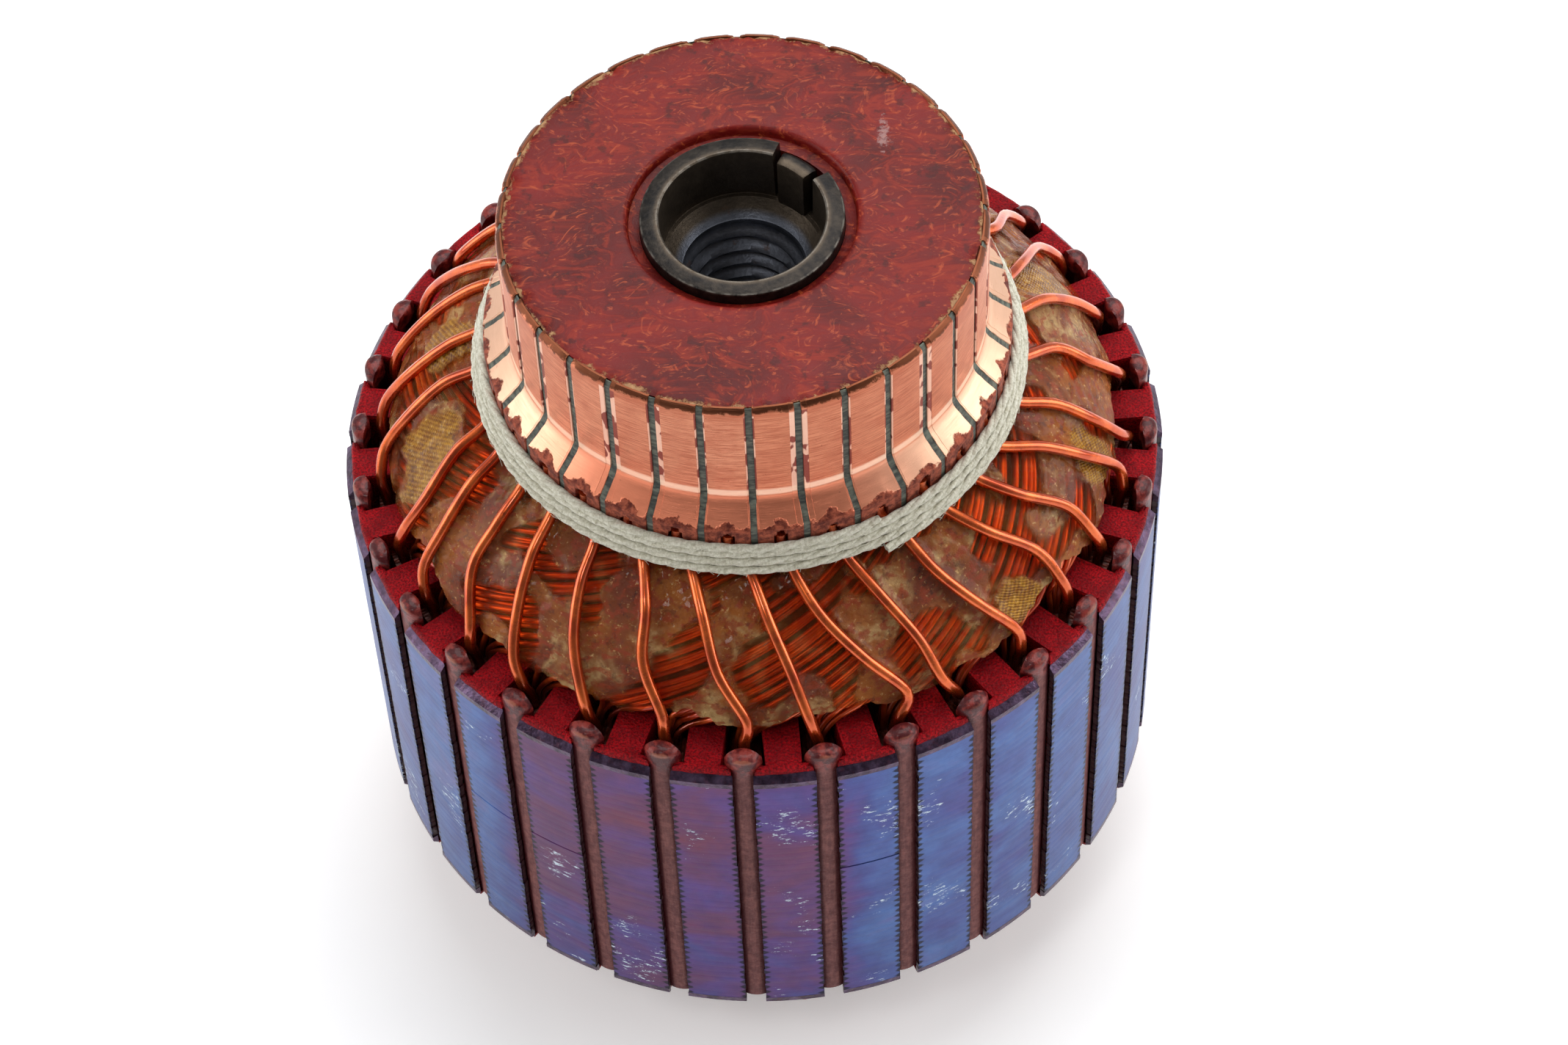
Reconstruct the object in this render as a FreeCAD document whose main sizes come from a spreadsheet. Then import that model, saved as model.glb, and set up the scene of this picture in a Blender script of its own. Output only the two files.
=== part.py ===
import FreeCAD, Part
import math
import os
import re

import Sketcher

# Wound armature of a small commutator motor. The shaft axis is Z, the foot of
# the shaft sleeve stands on Z = 0 and the commutator points up. The slot
# centres lie at whole steps of the slot pitch, counted from +X.

SIZES = {
    # laminated core
    "slotCount": 32,
    "stackRadius": 20.5,
    "blockLength": 20.0,
    "endLamination": 0.7,
    "endBevel": 0.35,
    "coatThickness": 0.3,
    "footHeight": 7.0,
    # slots
    "slotOpening": 1.0,
    "tipThickness": 0.3,
    "shoulderDepth": 0.75,
    "toothWidth": 1.5,
    "slotDepth": 8.0,
    "linerThickness": 0.12,
    # wedges
    "wedgeThickness": 0.34,
    "wedgeRise": 0.62,
    "wedgeSink": 0.28,
    "wedgeProud": 1.0,
    # coil sides in the slots
    "outerLayerDepth": 1.3,
    "outerLayerHeight": 3.0,
    "separatorThickness": 0.25,
    "windingClearance": 0.03,
    # shaft sleeve
    "sleeveRadius": 5.5,
    "spigotStep": 0.65,
    "threadBore": 2.5,
    "threadLead": 0.55,
    "counterboreWall": 0.92,
    "counterboreShelf": 0.23,
    "counterboreDepth": 3.0,
    "counterboreCone": 0.8,
    "rimChamfer": 0.15,
    "footChamfer": 0.5,
    # staked tongue in the sleeve's rim
    "gapStart": 34.5,
    "gapEnd": 69.5,
    "tongueStart": 41.5,
    "tongueEnd": 65.5,
    "tongueInset": 0.25,
    "tongueDrop": 0.2,
    # insulators on the sleeve
    "insulatorWall": 1.8,
    "collarLift": 0.4,
    # commutator
    "neckLength": 7.6,
    "hubLength": 9.34,
    "brushRadius": 11.65,
    "rimBevel": 0.25,
    "flangeLip": 0.05,
    "flangeThickness": 0.84,
    "riserStep": 1.2,
    "riserHeight": 1.7,
    "flareHeight": 0.7,
    "filletHeight": 0.6,
    "filletReach": 0.4,
    "riserRoot": 0.7,
    "barDepth": 3.25,
    "grooveDepth": 1.2,
    "grooveFloor": 0.6,
    "grooveMouth": 1.6,
    "grooveInset": 1.2,
    "ringWidth": 0.5,
    "ringHeight": 0.9,
    "ringClearance": 0.1,
    "micaThickness": 0.33,
    "micaSink": 0.12,
    "micaTurn": 2.9,
    "recessWidth": 0.6,
    "recessDepth": 0.6,
    # riser notches and the wire ends in them
    "notchWidth": 0.66,
    "notchDepth": 0.95,
    "notchHeight": 1.45,
    "jointDepth": 0.3,
    # winding overhang
    "overhangInset": 2.4,
    "overhangSkirt": 0.9,
    "overhangUndercut": 0.9,
    "overhangSag": 12.0,
    "crownDrop": 1.4,
    "clothThickness": 0.25,
    "lowerReach": 6.1,
    "lowerNarrowing": 3.6,
    "lowerBend": 6.0,
    "lowerBevel": 0.8,
    # leads and binding cord
    "leadRadius": 0.3,
    "leadGap": 0.12,
    "neckGap": 0.05,
    "leadRun": 2.2,
    "leadSlots": 2,
    "cordDiameter": 0.4,
    "cordRows": 4,
    "cordLean": 17.0,
    "cordGap": 0.06,
    "cordDrop": 0.87,
}

# Levels and radii that follow from the sizes above.
DERIVED = {
    "spigotRadius": "sleeveRadius - spigotStep",
    "counterboreRadius": "spigotRadius - counterboreWall",
    "threadMouth": "threadBore + threadLead",
    "recessRadius": "spigotRadius + recessWidth",
    "riserRadius": "brushRadius + riserStep",
    "barRootRadius": "brushRadius - barDepth",
    "grooveCentre": "barRootRadius + grooveInset",
    "stackBase": "footHeight + coatThickness + endLamination",
    "stackTop": "stackBase + blockLength",
    "coreTop": "stackTop + endLamination + coatThickness",
    "shoulderRadius": "stackRadius - shoulderDepth",
    "rootRadius": "stackRadius - slotDepth",
    "tipRadius": "stackRadius - tipThickness",
    "pitchAngle": "360 / slotCount",
    "shoulderHalf": "pi * shoulderRadius / slotCount - toothWidth / 2",
    "rootHalf": "pi * rootRadius / slotCount - toothWidth / 2",
    "wedgeEdge": "stackRadius - wedgeSink - wedgeRise",
    "wedgeCrown": "stackRadius - wedgeSink",
    "outerTop": "stackRadius - outerLayerDepth",
    "innerTop": "outerTop - outerLayerHeight - separatorThickness",
    "wedgeHalf": "pi * wedgeEdge / slotCount - toothWidth / 2 - linerThickness - windingClearance",
    "insulatorRadius": "sleeveRadius + insulatorWall",
    "neckTop": "coreTop + neckLength",
    "hubTop": "neckTop + hubLength",
    "flangeRadius": "brushRadius - rimBevel - flangeLip",
    "flangeBase": "hubTop - flangeThickness",
    "flareBase": "neckTop + riserHeight",
    "flareTop": "flareBase + flareHeight",
    "brushBase": "flareTop + filletHeight",
    "barBase": "neckTop + riserRoot",
    "micaAngle": "180 / pi * micaThickness / brushRadius",
    "barAngle": "pitchAngle - micaAngle",
    "barTurn": "micaTurn + pitchAngle / 2",
    "notchRoot": "riserRadius - notchDepth",
    "leadEndRadius": "notchRoot + jointDepth + leadRadius",
    "overhangNeck": "leadEndRadius - leadRadius - neckGap - clothThickness",
    "overhangShoulder": "stackRadius - overhangInset",
    "overhangSeat": "overhangShoulder - overhangUndercut",
    "crownTop": "neckTop - crownDrop",
    "lowerCrown": "overhangShoulder - lowerNarrowing",
    "cordBase": "neckTop - cordDrop",
    "cordHead": "riserRadius + cordGap + cordDiameter / 2",
    "cordFoot": "cordHead + cordRows * cordDiameter * sin(cordLean)",
}


def bound(text):
    """A formula in plain words, as an expression on the cells of the sheet."""
    def spell(match):
        word = match.group(0)
        if word in DERIVED:
            return "(" + bound(DERIVED[word]) + ")"
        if word in SIZES:
            return "Sizes." + word
        return word
    return re.sub(r"[A-Za-z]\w*", spell, str(text))


def value(text):
    """The same formula worked out, in millimetres or degrees."""
    result = sheet.evalExpression(bound(text))
    return float(getattr(result, "Value", result))


def bind(target, **formulas):
    """Tie properties to formulas; a double underscore stands for a dot."""
    for name, text in formulas.items():
        target.setExpression(name.replace("__", "."), bound(text))


def make_sheet():
    table = doc.addObject("Spreadsheet::Sheet", "Sizes")
    for row, (name, number) in enumerate(SIZES.items(), start=1):
        table.set("A%d" % row, name)
        table.set("B%d" % row, str(number))
        table.setAlias("B%d" % row, name)
    doc.recompute()
    return table


# ---- sketches and bodies -------------------------------------------------

def make_body(label):
    body = doc.addObject("PartDesign::Body", label)
    body.Label = label
    body.AllowCompound = True
    return body


def make_sketch(body, role):
    sketch = body.newObject("Sketcher::SketchObject", body.Name + "_sketch")
    plane = [item for item in body.Origin.OriginFeatures if item.Role == role][0]
    sketch.AttachmentSupport = [(plane, "")]
    sketch.MapMode = "FlatFace"
    return sketch


def add_outline(sketch, corners):
    """A closed outline. A corner is (x, y) when a straight edge leaves it, or
    (x, y, radius, side) when an arc does: side 1 keeps the arc's centre on the
    left of the way round, side -1 on the right."""
    first = sketch.GeometryCount
    points = [FreeCAD.Vector(value(corner[0]), value(corner[1]), 0) for corner in corners]
    starts = []
    ends = []
    for index, corner in enumerate(corners):
        here = points[index]
        there = points[(index + 1) % len(points)]
        if len(corner) == 2:
            sketch.addGeometry(Part.LineSegment(here, there), False)
            starts.append(1)
            ends.append(2)
        else:
            sketch.addGeometry(arc_between(here, there, value(corner[2]), corner[3]), False)
            starts.append(1 if corner[3] > 0 else 2)
            ends.append(2 if corner[3] > 0 else 1)
    for index, corner in enumerate(corners):
        edge = first + index
        follower = (index + 1) % len(corners)
        joined = Sketcher.Constraint("Coincident", edge, ends[index], first + follower, starts[follower])
        sketch.addConstraint(joined)
        place_point(sketch, edge, starts[index], corner)
        if len(corner) > 2:
            number = sketch.addConstraint(Sketcher.Constraint("Radius", edge, value(corner[2])))
            sketch.setExpression("Constraints[%d]" % number, bound(corner[2]))


def place_point(sketch, edge, end, corner):
    for kind, text in (("DistanceX", corner[0]), ("DistanceY", corner[1])):
        number = sketch.addConstraint(Sketcher.Constraint(kind, -1, 1, edge, end, value(text)))
        sketch.setExpression("Constraints[%d]" % number, bound(text))


def arc_between(here, there, radius, side):
    chord = there - here
    middle = (here + there) / 2
    reach = math.sqrt(radius ** 2 - (chord.Length / 2) ** 2)
    left = FreeCAD.Vector(-chord.y, chord.x, 0).normalize()
    centre = middle + left * reach * side
    first, last = (here, there) if side > 0 else (there, here)
    start = math.atan2(first.y - centre.y, first.x - centre.x)
    finish = math.atan2(last.y - centre.y, last.x - centre.x)
    circle = Part.Circle(centre, FreeCAD.Vector(0, 0, 1), radius)
    return Part.ArcOfCircle(circle, start, finish)


def turn_profile(body, corners, angle="360", kind="PartDesign::Revolution"):
    """Turn a profile of (radius, height) corners about Z."""
    sketch = make_sketch(body, "XZ_Plane")
    add_outline(sketch, corners)
    feature = body.newObject(kind, body.Name + "_turn")
    feature.Profile = sketch
    feature.ReferenceAxis = (sketch, ["V_Axis"])
    feature.Midplane = True
    bind(feature, Angle=angle)
    return feature


def pad_profile(body, corners, base, length):
    """Pad a profile of (radial, sideways) corners upwards from a level."""
    sketch = make_sketch(body, "XY_Plane")
    add_outline(sketch, corners)
    bind(sketch, AttachmentOffset__Base__z=base)
    pad = body.newObject("PartDesign::Pad", body.Name + "_pad")
    pad.Profile = sketch
    bind(pad, Length=length)
    return pad


def ring_of(body, *features):
    """Repeat features round the axis, one for each slot."""
    pattern = body.newObject("PartDesign::PolarPattern", body.Name + "_ring")
    pattern.Originals = list(features)
    axis = [item for item in body.Origin.OriginFeatures if item.Role == "Z_Axis"][0]
    pattern.Axis = (axis, [""])
    pattern.Angle = 360
    bind(pattern, Occurrences="slotCount")
    body.Tip = pattern
    return pattern


def turned_ring(label, inner, outer, base, top):
    body = make_body(label)
    turn_profile(body, [(inner, base), (outer, base), (outer, top), (inner, top)])
    return body


def turn_about_axis(target, angle):
    target.Placement = FreeCAD.Placement(
        FreeCAD.Vector(0, 0, 0), FreeCAD.Rotation(FreeCAD.Vector(0, 0, 1), value(angle)))
    bind(target, Placement__Rotation__Angle=angle)


# ---- laminated core ------------------------------------------------------

def slot_outline():
    """One slot, open at the rim, with overhanging tips and a round root."""
    mouth = "slotOpening / 2"
    return [
        ("stackRadius + 1", "-" + mouth),
        ("stackRadius + 1", mouth),
        ("tipRadius", mouth),
        ("shoulderRadius", "shoulderHalf"),
        ("rootRadius", "rootHalf", "rootHalf * 1.05", 1),
        ("rootRadius", "-rootHalf"),
        ("shoulderRadius", "-shoulderHalf"),
        ("tipRadius", "-" + mouth),
    ]


def slotted_plate(label, corners, base, thickness):
    body = make_body(label)
    plate = turn_profile(body, corners)
    doc.recompute()
    uncut = plate.Shape.Volume
    sketch = make_sketch(body, "XY_Plane")
    add_outline(sketch, slot_outline())
    bind(sketch, AttachmentOffset__Base__z=base)
    slot = body.newObject("PartDesign::Pocket", label + "_slot")
    slot.Profile = sketch
    slot.Reversed = True
    bind(slot, Length=thickness)
    doc.recompute()
    if slot.Shape.Volume >= uncut:
        raise RuntimeError("the slot of %s cuts nothing" % label)
    ring_of(body, slot)
    return body


def lamination_stack():
    corners = [("sleeveRadius", "stackBase"), ("stackRadius", "stackBase"),
               ("stackRadius", "stackTop"), ("sleeveRadius", "stackTop")]
    return slotted_plate("lamination_stack", corners, "stackBase", "blockLength")


def end_lamination(label, inner_level, outer_level, low_level):
    """The last plates of the stack, bevelled on their free edge."""
    away = 1 if value(outer_level) > value(inner_level) else -1
    bevel_level = "%s - %d * endBevel" % (outer_level, away)
    corners = [("sleeveRadius", inner_level), ("stackRadius", inner_level),
               ("stackRadius", bevel_level), ("stackRadius - endBevel", outer_level),
               ("sleeveRadius", outer_level)]
    return slotted_plate(label, corners, low_level, "endLamination")


def end_coat(label, base):
    """The coat of insulating powder on an end face of the core."""
    top = base + " + coatThickness"
    rim = "stackRadius - endBevel"
    corners = [("sleeveRadius", base), (rim, base), (rim, top), ("sleeveRadius", top)]
    return slotted_plate(label, corners, base, "coatThickness")


# ---- what lies in the slots ----------------------------------------------

def half_width(radius, clearance):
    """Half the slot's width at a radius, between teeth of even width."""
    return "pi * (%s) / slotCount - toothWidth / 2 - (%s)" % (radius, clearance)


def slot_liners():
    body = make_body("slot_liners")
    inner = "linerThickness"
    top = "shoulderRadius"
    root = "rootRadius"
    outer_root = half_width(root, "0")
    inner_root = half_width(root, inner)
    corners = [
        (top, half_width(top, "0")),
        (root, outer_root, "(%s) * 1.05" % outer_root, 1),
        (root, "-(%s)" % outer_root),
        (top, "-(%s)" % half_width(top, "0")),
        (top, "-(%s)" % half_width(top, inner)),
        (root, "-(%s)" % inner_root, "(%s) * 1.05" % inner_root, -1),
        (root, inner_root),
        (top, half_width(top, inner)),
    ]
    ring_of(body, pad_profile(body, corners, "footHeight", "coreTop - footHeight"))
    return body


def slot_block(label, outer, inner):
    """Straight filling of every slot between two radii."""
    body = make_body(label)
    side = "linerThickness + windingClearance"
    corners = [
        (outer, half_width(outer, side)),
        (inner, half_width(inner, side)),
        (inner, "-(%s)" % half_width(inner, side)),
        (outer, "-(%s)" % half_width(outer, side)),
    ]
    ring_of(body, pad_profile(body, corners, "footHeight", "coreTop - footHeight"))
    return body


def slot_wedges():
    """Arched strips that close the slots, bulging into the openings."""
    body = make_body("slot_wedges")
    outer = "(wedgeHalf * wedgeHalf + wedgeRise * wedgeRise) / (2 * wedgeRise)"
    inner_half = "(wedgeHalf - wedgeThickness)"
    inner_rise = "(wedgeRise - wedgeThickness * 0.6)"
    inner = "(%s * %s + %s * %s) / (2 * %s)" % (
        inner_half, inner_half, inner_rise, inner_rise, inner_rise)
    inner_edge = "wedgeCrown - wedgeThickness - " + inner_rise
    corners = [
        ("wedgeEdge", "-wedgeHalf", outer, 1),
        ("wedgeEdge", "wedgeHalf"),
        (inner_edge, inner_half, inner, -1),
        (inner_edge, "-" + inner_half),
    ]
    ring_of(body, pad_profile(body, corners, "footHeight", "coreTop + wedgeProud - footHeight"))
    return body


# ---- shaft sleeve and its insulators -------------------------------------

def shaft_sleeve():
    body = make_body("sleeve_blank")
    shelf = "counterboreRadius - counterboreShelf"
    shelf_level = "hubTop - counterboreDepth"
    cone_level = shelf_level + " - counterboreCone"
    turn_profile(body, [
        ("threadBore + footChamfer", "0"),
        ("sleeveRadius - rimChamfer", "0"),
        ("sleeveRadius", "rimChamfer"),
        ("sleeveRadius", "neckTop"),
        ("spigotRadius", "neckTop"),
        ("spigotRadius", "hubTop - rimChamfer"),
        ("spigotRadius - rimChamfer", "hubTop"),
        ("counterboreRadius", "hubTop"),
        ("counterboreRadius", shelf_level),
        (shelf, shelf_level),
        ("threadMouth", cone_level),
        ("threadBore", cone_level + " - (threadMouth - threadBore)"),
        ("threadBore", "footChamfer"),
    ])
    gap = sector("sleeve_gap", "spigotRadius + 0.5", "counterboreRadius - 0.4",
                 "hubTop - counterboreDepth", "counterboreDepth + 1", "gapStart", "gapEnd")
    tongue = sector("sleeve_tongue", "spigotRadius - tongueInset", "counterboreRadius - tongueInset",
                    "hubTop - counterboreDepth - tongueDrop", "counterboreDepth",
                    "tongueStart", "tongueEnd")
    notched = doc.addObject("Part::Cut", "sleeve_notched")
    notched.Base = body
    notched.Tool = gap
    sleeve = doc.addObject("Part::Fuse", "shaft_sleeve")
    sleeve.Base = notched
    sleeve.Tool = tongue
    sleeve.Label = "shaft_sleeve"
    return sleeve


def sector(label, outer, inner, base, height, start, end):
    """A piece of tube wall between two angles."""
    walls = []
    for part, radius in (("outer", outer), ("inner", inner)):
        wall = doc.addObject("Part::Cylinder", "%s_%s" % (label, part))
        turn_about_axis(wall, start)
        bind(wall, Radius=radius, Height=height, Angle="%s - %s" % (end, start),
             Placement__Base__z=base)
        walls.append(wall)
    piece = doc.addObject("Part::Cut", label)
    piece.Base, piece.Tool = walls
    return piece


# ---- commutator ----------------------------------------------------------

def bar_outline(sink="0"):
    """Half-section of a commutator bar: rim, brush face, flare, riser, root
    and the two grooves that anchor it. Sink lowers the free outer faces."""
    left = "grooveCentre - grooveMouth / 2"
    right = "grooveCentre + grooveMouth / 2"
    floor_left = "grooveCentre - grooveFloor / 2"
    floor_right = "grooveCentre + grooveFloor / 2"
    face = "brushRadius - " + sink
    riser = "riserRadius - " + sink
    return [
        (face, "brushBase"),
        (face, "hubTop - rimBevel - " + sink),
        ("brushRadius - rimBevel", "hubTop - " + sink),
        ("flangeRadius", "hubTop - " + sink),
        ("flangeRadius", "flangeBase"),
        (right, "flangeBase"),
        (floor_right, "flangeBase - grooveDepth"),
        (floor_left, "flangeBase - grooveDepth"),
        (left, "flangeBase"),
        ("barRootRadius", "flangeBase"),
        ("barRootRadius", "barBase"),
        (left, "barBase"),
        (floor_left, "barBase + grooveDepth"),
        (floor_right, "barBase + grooveDepth"),
        (right, "barBase"),
        ("flangeRadius", "barBase"),
        ("flangeRadius", "neckTop"),
        (riser, "neckTop"),
        (riser, "flareBase"),
        (face + " + filletReach", "flareTop"),
    ]


def commutator_bars():
    body = make_body("commutator_bars")
    bar = turn_profile(body, bar_outline(), "barAngle")
    notch = make_sketch(body, "XZ_Plane")
    top = "neckTop + notchHeight"
    reach = "riserRadius + 1"
    add_outline(notch, [("notchRoot", "neckTop - 1"), (reach, "neckTop - 1"), (reach, top), ("notchRoot", top)])
    cut = body.newObject("PartDesign::Pocket", "riser_notch")
    cut.Profile = notch
    cut.Midplane = True
    bind(cut, Length="notchWidth")
    ring_of(body, bar, cut)
    turn_about_axis(body, "barTurn")
    return body


def mica_segments():
    body = make_body("mica_segments")
    ring_of(body, turn_profile(body, bar_outline("micaSink"), "micaAngle"))
    turn_about_axis(body, "micaTurn")
    return body


def commutator_hub():
    """The moulding: everything inside the bars, up to the flush end face."""
    body = make_body("commutator_hub")
    ring = "ringHeight"
    turn_profile(body, [
        ("spigotRadius", "neckTop"),
        ("flangeRadius", "neckTop"),
        ("flangeRadius", "hubTop"),
        ("recessRadius", "hubTop"),
        ("spigotRadius", "hubTop - recessDepth"),
    ])
    turn_profile(body, groove_envelope(), kind="PartDesign::Groove")
    for low in (front_ring_base(), rear_ring_base()):
        turn_profile(body, ring_section(low, ring), kind="PartDesign::Groove")
    return body


def groove_envelope():
    """The bars' section inside the flange, which the moulding leaves free."""
    return bar_outline()[4:16]


def front_ring_base():
    return "flangeBase - ringHeight + ringClearance"


def rear_ring_base():
    return "barBase - ringClearance"


def ring_section(base, height):
    inner = "grooveCentre - ringWidth / 2"
    outer = "grooveCentre + ringWidth / 2"
    top = "%s + %s" % (base, height)
    return [(inner, base), (outer, base), (outer, top), (inner, top)]


def hub_ring(label, base):
    """A reinforcing ring moulded into a groove of the bars."""
    body = make_body(label)
    turn_profile(body, ring_section(base, "ringHeight"))
    return body


def riser_joints():
    """Brazing that fills the back of each riser notch behind the wire."""
    body = make_body("riser_joints")
    half = "notchWidth / 2"
    near = "notchRoot"
    far = "notchRoot + jointDepth"
    corners = [(near, "-" + half), (far, "-" + half), (far, half), (near, half)]
    ring_of(body, pad_profile(body, corners, "neckTop", "notchHeight"))
    turn_about_axis(body, "barTurn")
    return body


# ---- winding overhangs and cloth -----------------------------------------

def end_winding_top():
    """The coil ends between the core and the commutator, as one crowned ring."""
    body = make_body("end_winding_top")
    turn_profile(body, [
        ("insulatorRadius", "coreTop"),
        ("overhangSeat", "coreTop"),
        ("overhangShoulder", "coreTop + overhangSkirt", "overhangSag", 1),
        ("overhangNeck", "crownTop"),
        ("overhangNeck", "neckTop"),
        ("insulatorRadius", "neckTop"),
    ])
    return body


def cloth_cover():
    """Varnished cloth laid over the coil ends, under the leads."""
    body = make_body("cloth_cover")
    outer_neck = "overhangNeck + clothThickness"
    turn_profile(body, [
        ("overhangShoulder", "coreTop + overhangSkirt"),
        ("overhangShoulder + clothThickness", "coreTop + overhangSkirt", "overhangSag + clothThickness", 1),
        (outer_neck, "crownTop + clothThickness"),
        (outer_neck, "neckTop"),
        ("overhangNeck", "neckTop"),
        ("overhangNeck", "crownTop", "overhangSag", -1),
    ])
    return body


def end_winding_bottom():
    """The coil ends at the free end of the core, bent round in a blunt ring."""
    body = make_body("end_winding_bottom")
    low = "footHeight - lowerReach"
    turn_profile(body, [
        ("insulatorRadius", "footHeight"),
        ("insulatorRadius", low + " + lowerBevel"),
        ("insulatorRadius + lowerBevel", low),
        ("lowerCrown", low, "lowerBend", 1),
        ("overhangShoulder", "footHeight - overhangSkirt"),
        ("overhangSeat", "footHeight"),
    ])
    return body


# ---- leads ---------------------------------------------------------------

def around(angle, radius, level):
    turn = math.radians(angle)
    return FreeCAD.Vector(radius * math.cos(turn), radius * math.sin(turn), level)


def crown_curve():
    """The crown's arc in half-section, from the skirt up to the neck."""
    skirt = FreeCAD.Vector(value("overhangShoulder"), value("coreTop + overhangSkirt"), 0)
    neck = FreeCAD.Vector(value("overhangNeck"), value("crownTop"), 0)
    return arc_between(skirt, neck, value("overhangSag"), 1)


def crown_point(curve, share, grow):
    """Radius and level on the crown, grown outwards, part of the way up it."""
    spot = curve.value(curve.FirstParameter + share * (curve.LastParameter - curve.FirstParameter))
    outwards = (spot - curve.Center).normalize()
    grown = spot + outwards * grow
    return grown.x, grown.y


def lead_route():
    """One lead, from its slot over the cloth and under the cord to its riser."""
    lean = value("barTurn - leadSlots * pitchAngle")
    over = value("clothThickness + leadRadius + leadGap")
    slot_radius = value("overhangShoulder") + over
    notch_radius = value("leadEndRadius")
    notch_end = value("neckTop + notchHeight - leadRadius")
    points = [
        around(0.0, slot_radius, value("coreTop")),
        around(0.0, slot_radius, value("coreTop + overhangSkirt")),
    ]
    crown = crown_curve()
    first_share, crown_share, crown_lean = 0.02, 0.78, 0.75
    runs = math.ceil(crown_share * crown.length() / value("leadRun"))
    for run in range(1, runs + 1):
        part = run / runs
        spot = crown_point(crown, first_share + crown_share * part, over)
        points.append(around(lean * crown_lean * part, *spot))
    points.append(around(lean, notch_radius, value("crownTop") + over))
    points.append(around(lean, notch_radius, notch_end))
    return points


def rounded_wire(points):
    """Straight runs joined by tangent arcs, as large as the runs allow."""
    edges = []
    start = points[0]
    for before, corner, after in zip(points, points[1:], points[2:]):
        into = (corner - before).normalize()
        out = (after - corner).normalize()
        reach = 0.45 * min((corner - before).Length, (after - corner).Length)
        half_turn = into.getAngle(out) / 2
        radius = reach / math.tan(half_turn)
        first = corner - into * reach
        last = corner + out * reach
        middle = corner + (out - into).normalize() * (radius / math.cos(half_turn) - radius)
        edges.append(Part.LineSegment(start, first).toShape())
        edges.append(Part.Arc(first, middle, last).toShape())
        start = last
    edges.append(Part.LineSegment(start, points[-1]).toShape())
    return Part.Wire(edges)


def round_tube(points, radius):
    route = rounded_wire(points)
    heading = (points[1] - points[0]).normalize()
    section = Part.Wire(Part.makeCircle(radius, points[0], heading))
    tube = route.makePipeShell([section], True, False)
    expected = math.pi * radius ** 2 * route.Length
    if abs(tube.Volume / expected - 1) > 0.01:
        raise RuntimeError("a tube's volume is not its section times its length")
    return tube


def coil_leads():
    tube = round_tube(lead_route(), value("leadRadius"))
    turned = []
    for index in range(int(value("slotCount"))):
        copy = tube.copy()
        copy.rotate(FreeCAD.Vector(0, 0, 0), FreeCAD.Vector(0, 0, 1), index * value("pitchAngle"))
        turned.append(copy)
    leads = doc.addObject("Part::Feature", "coil_leads")
    leads.Shape = Part.makeCompound(turned)
    return leads


# ---- binding cord --------------------------------------------------------

def binding_cord():
    """The cord wound over the leads below the risers, as one ribbed band with
    a rib for each turn, widening downwards."""
    body = make_body("binding_cord")
    rows = int(value("cordRows"))
    corners = []
    for row in range(rows):
        radius = "cordFoot - %d * cordDiameter * sin(cordLean)" % row
        level = "cordBase + %d * cordDiameter * cos(cordLean)" % row
        corners.append((radius, level, "cordDiameter * 0.52", 1))
    level = "cordBase + cordRows * cordDiameter * cos(cordLean)"
    corners.append(("cordHead", level))
    corners.append(("cordHead - cordDiameter / 2", level))
    corners.append(("cordFoot - cordDiameter / 2", "cordBase"))
    turn_profile(body, corners)
    return body


def check_and_export(pieces):
    doc.recompute()
    for item in doc.Objects:
        if "Invalid" in item.State or "Error" in item.State:
            raise RuntimeError("%s failed: %s" % (item.Label, item.State))
    os.makedirs("parts", exist_ok=True)
    for piece in pieces:
        if piece.Shape.isNull() or not piece.Shape.isValid():
            raise RuntimeError("%s has no valid shape" % piece.Label)
        piece.Shape.exportStep("parts/%s.step" % piece.Label)
        print("%-20s solids %3d  volume %9.2f" % (piece.Label, len(piece.Shape.Solids), piece.Shape.Volume))


doc = FreeCAD.newDocument("armature")
sheet = make_sheet()
pieces = [
    lamination_stack(),
    end_lamination("end_lamination_top", "stackTop", "stackTop + endLamination", "stackTop"),
    end_lamination("end_lamination_bottom", "stackBase", "stackBase - endLamination",
                   "stackBase - endLamination"),
    end_coat("end_coat_top", "stackTop + endLamination"),
    end_coat("end_coat_bottom", "footHeight"),
    slot_liners(),
    slot_wedges(),
    slot_block("coil_sides_outer", "outerTop", "outerTop - outerLayerHeight"),
    slot_block("slot_separators", "outerTop - outerLayerHeight", "innerTop"),
    slot_block("coil_sides_inner", "innerTop", "rootRadius + linerThickness"),
    end_winding_top(),
    end_winding_bottom(),
    cloth_cover(),
    coil_leads(),
    binding_cord(),
    shaft_sleeve(),
    turned_ring("neck_insulator", "sleeveRadius", "insulatorRadius", "coreTop", "neckTop"),
    turned_ring("end_collar", "sleeveRadius", "insulatorRadius", "collarLift", "footHeight"),
    commutator_bars(),
    mica_segments(),
    commutator_hub(),
    hub_ring("hub_ring_front", front_ring_base()),
    hub_ring("hub_ring_rear", rear_ring_base()),
    riser_joints(),
]
check_and_export(pieces)
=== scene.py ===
import bpy
import bmesh
import math
import random
import numpy as np
from mathutils import Matrix, Vector, noise


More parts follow.
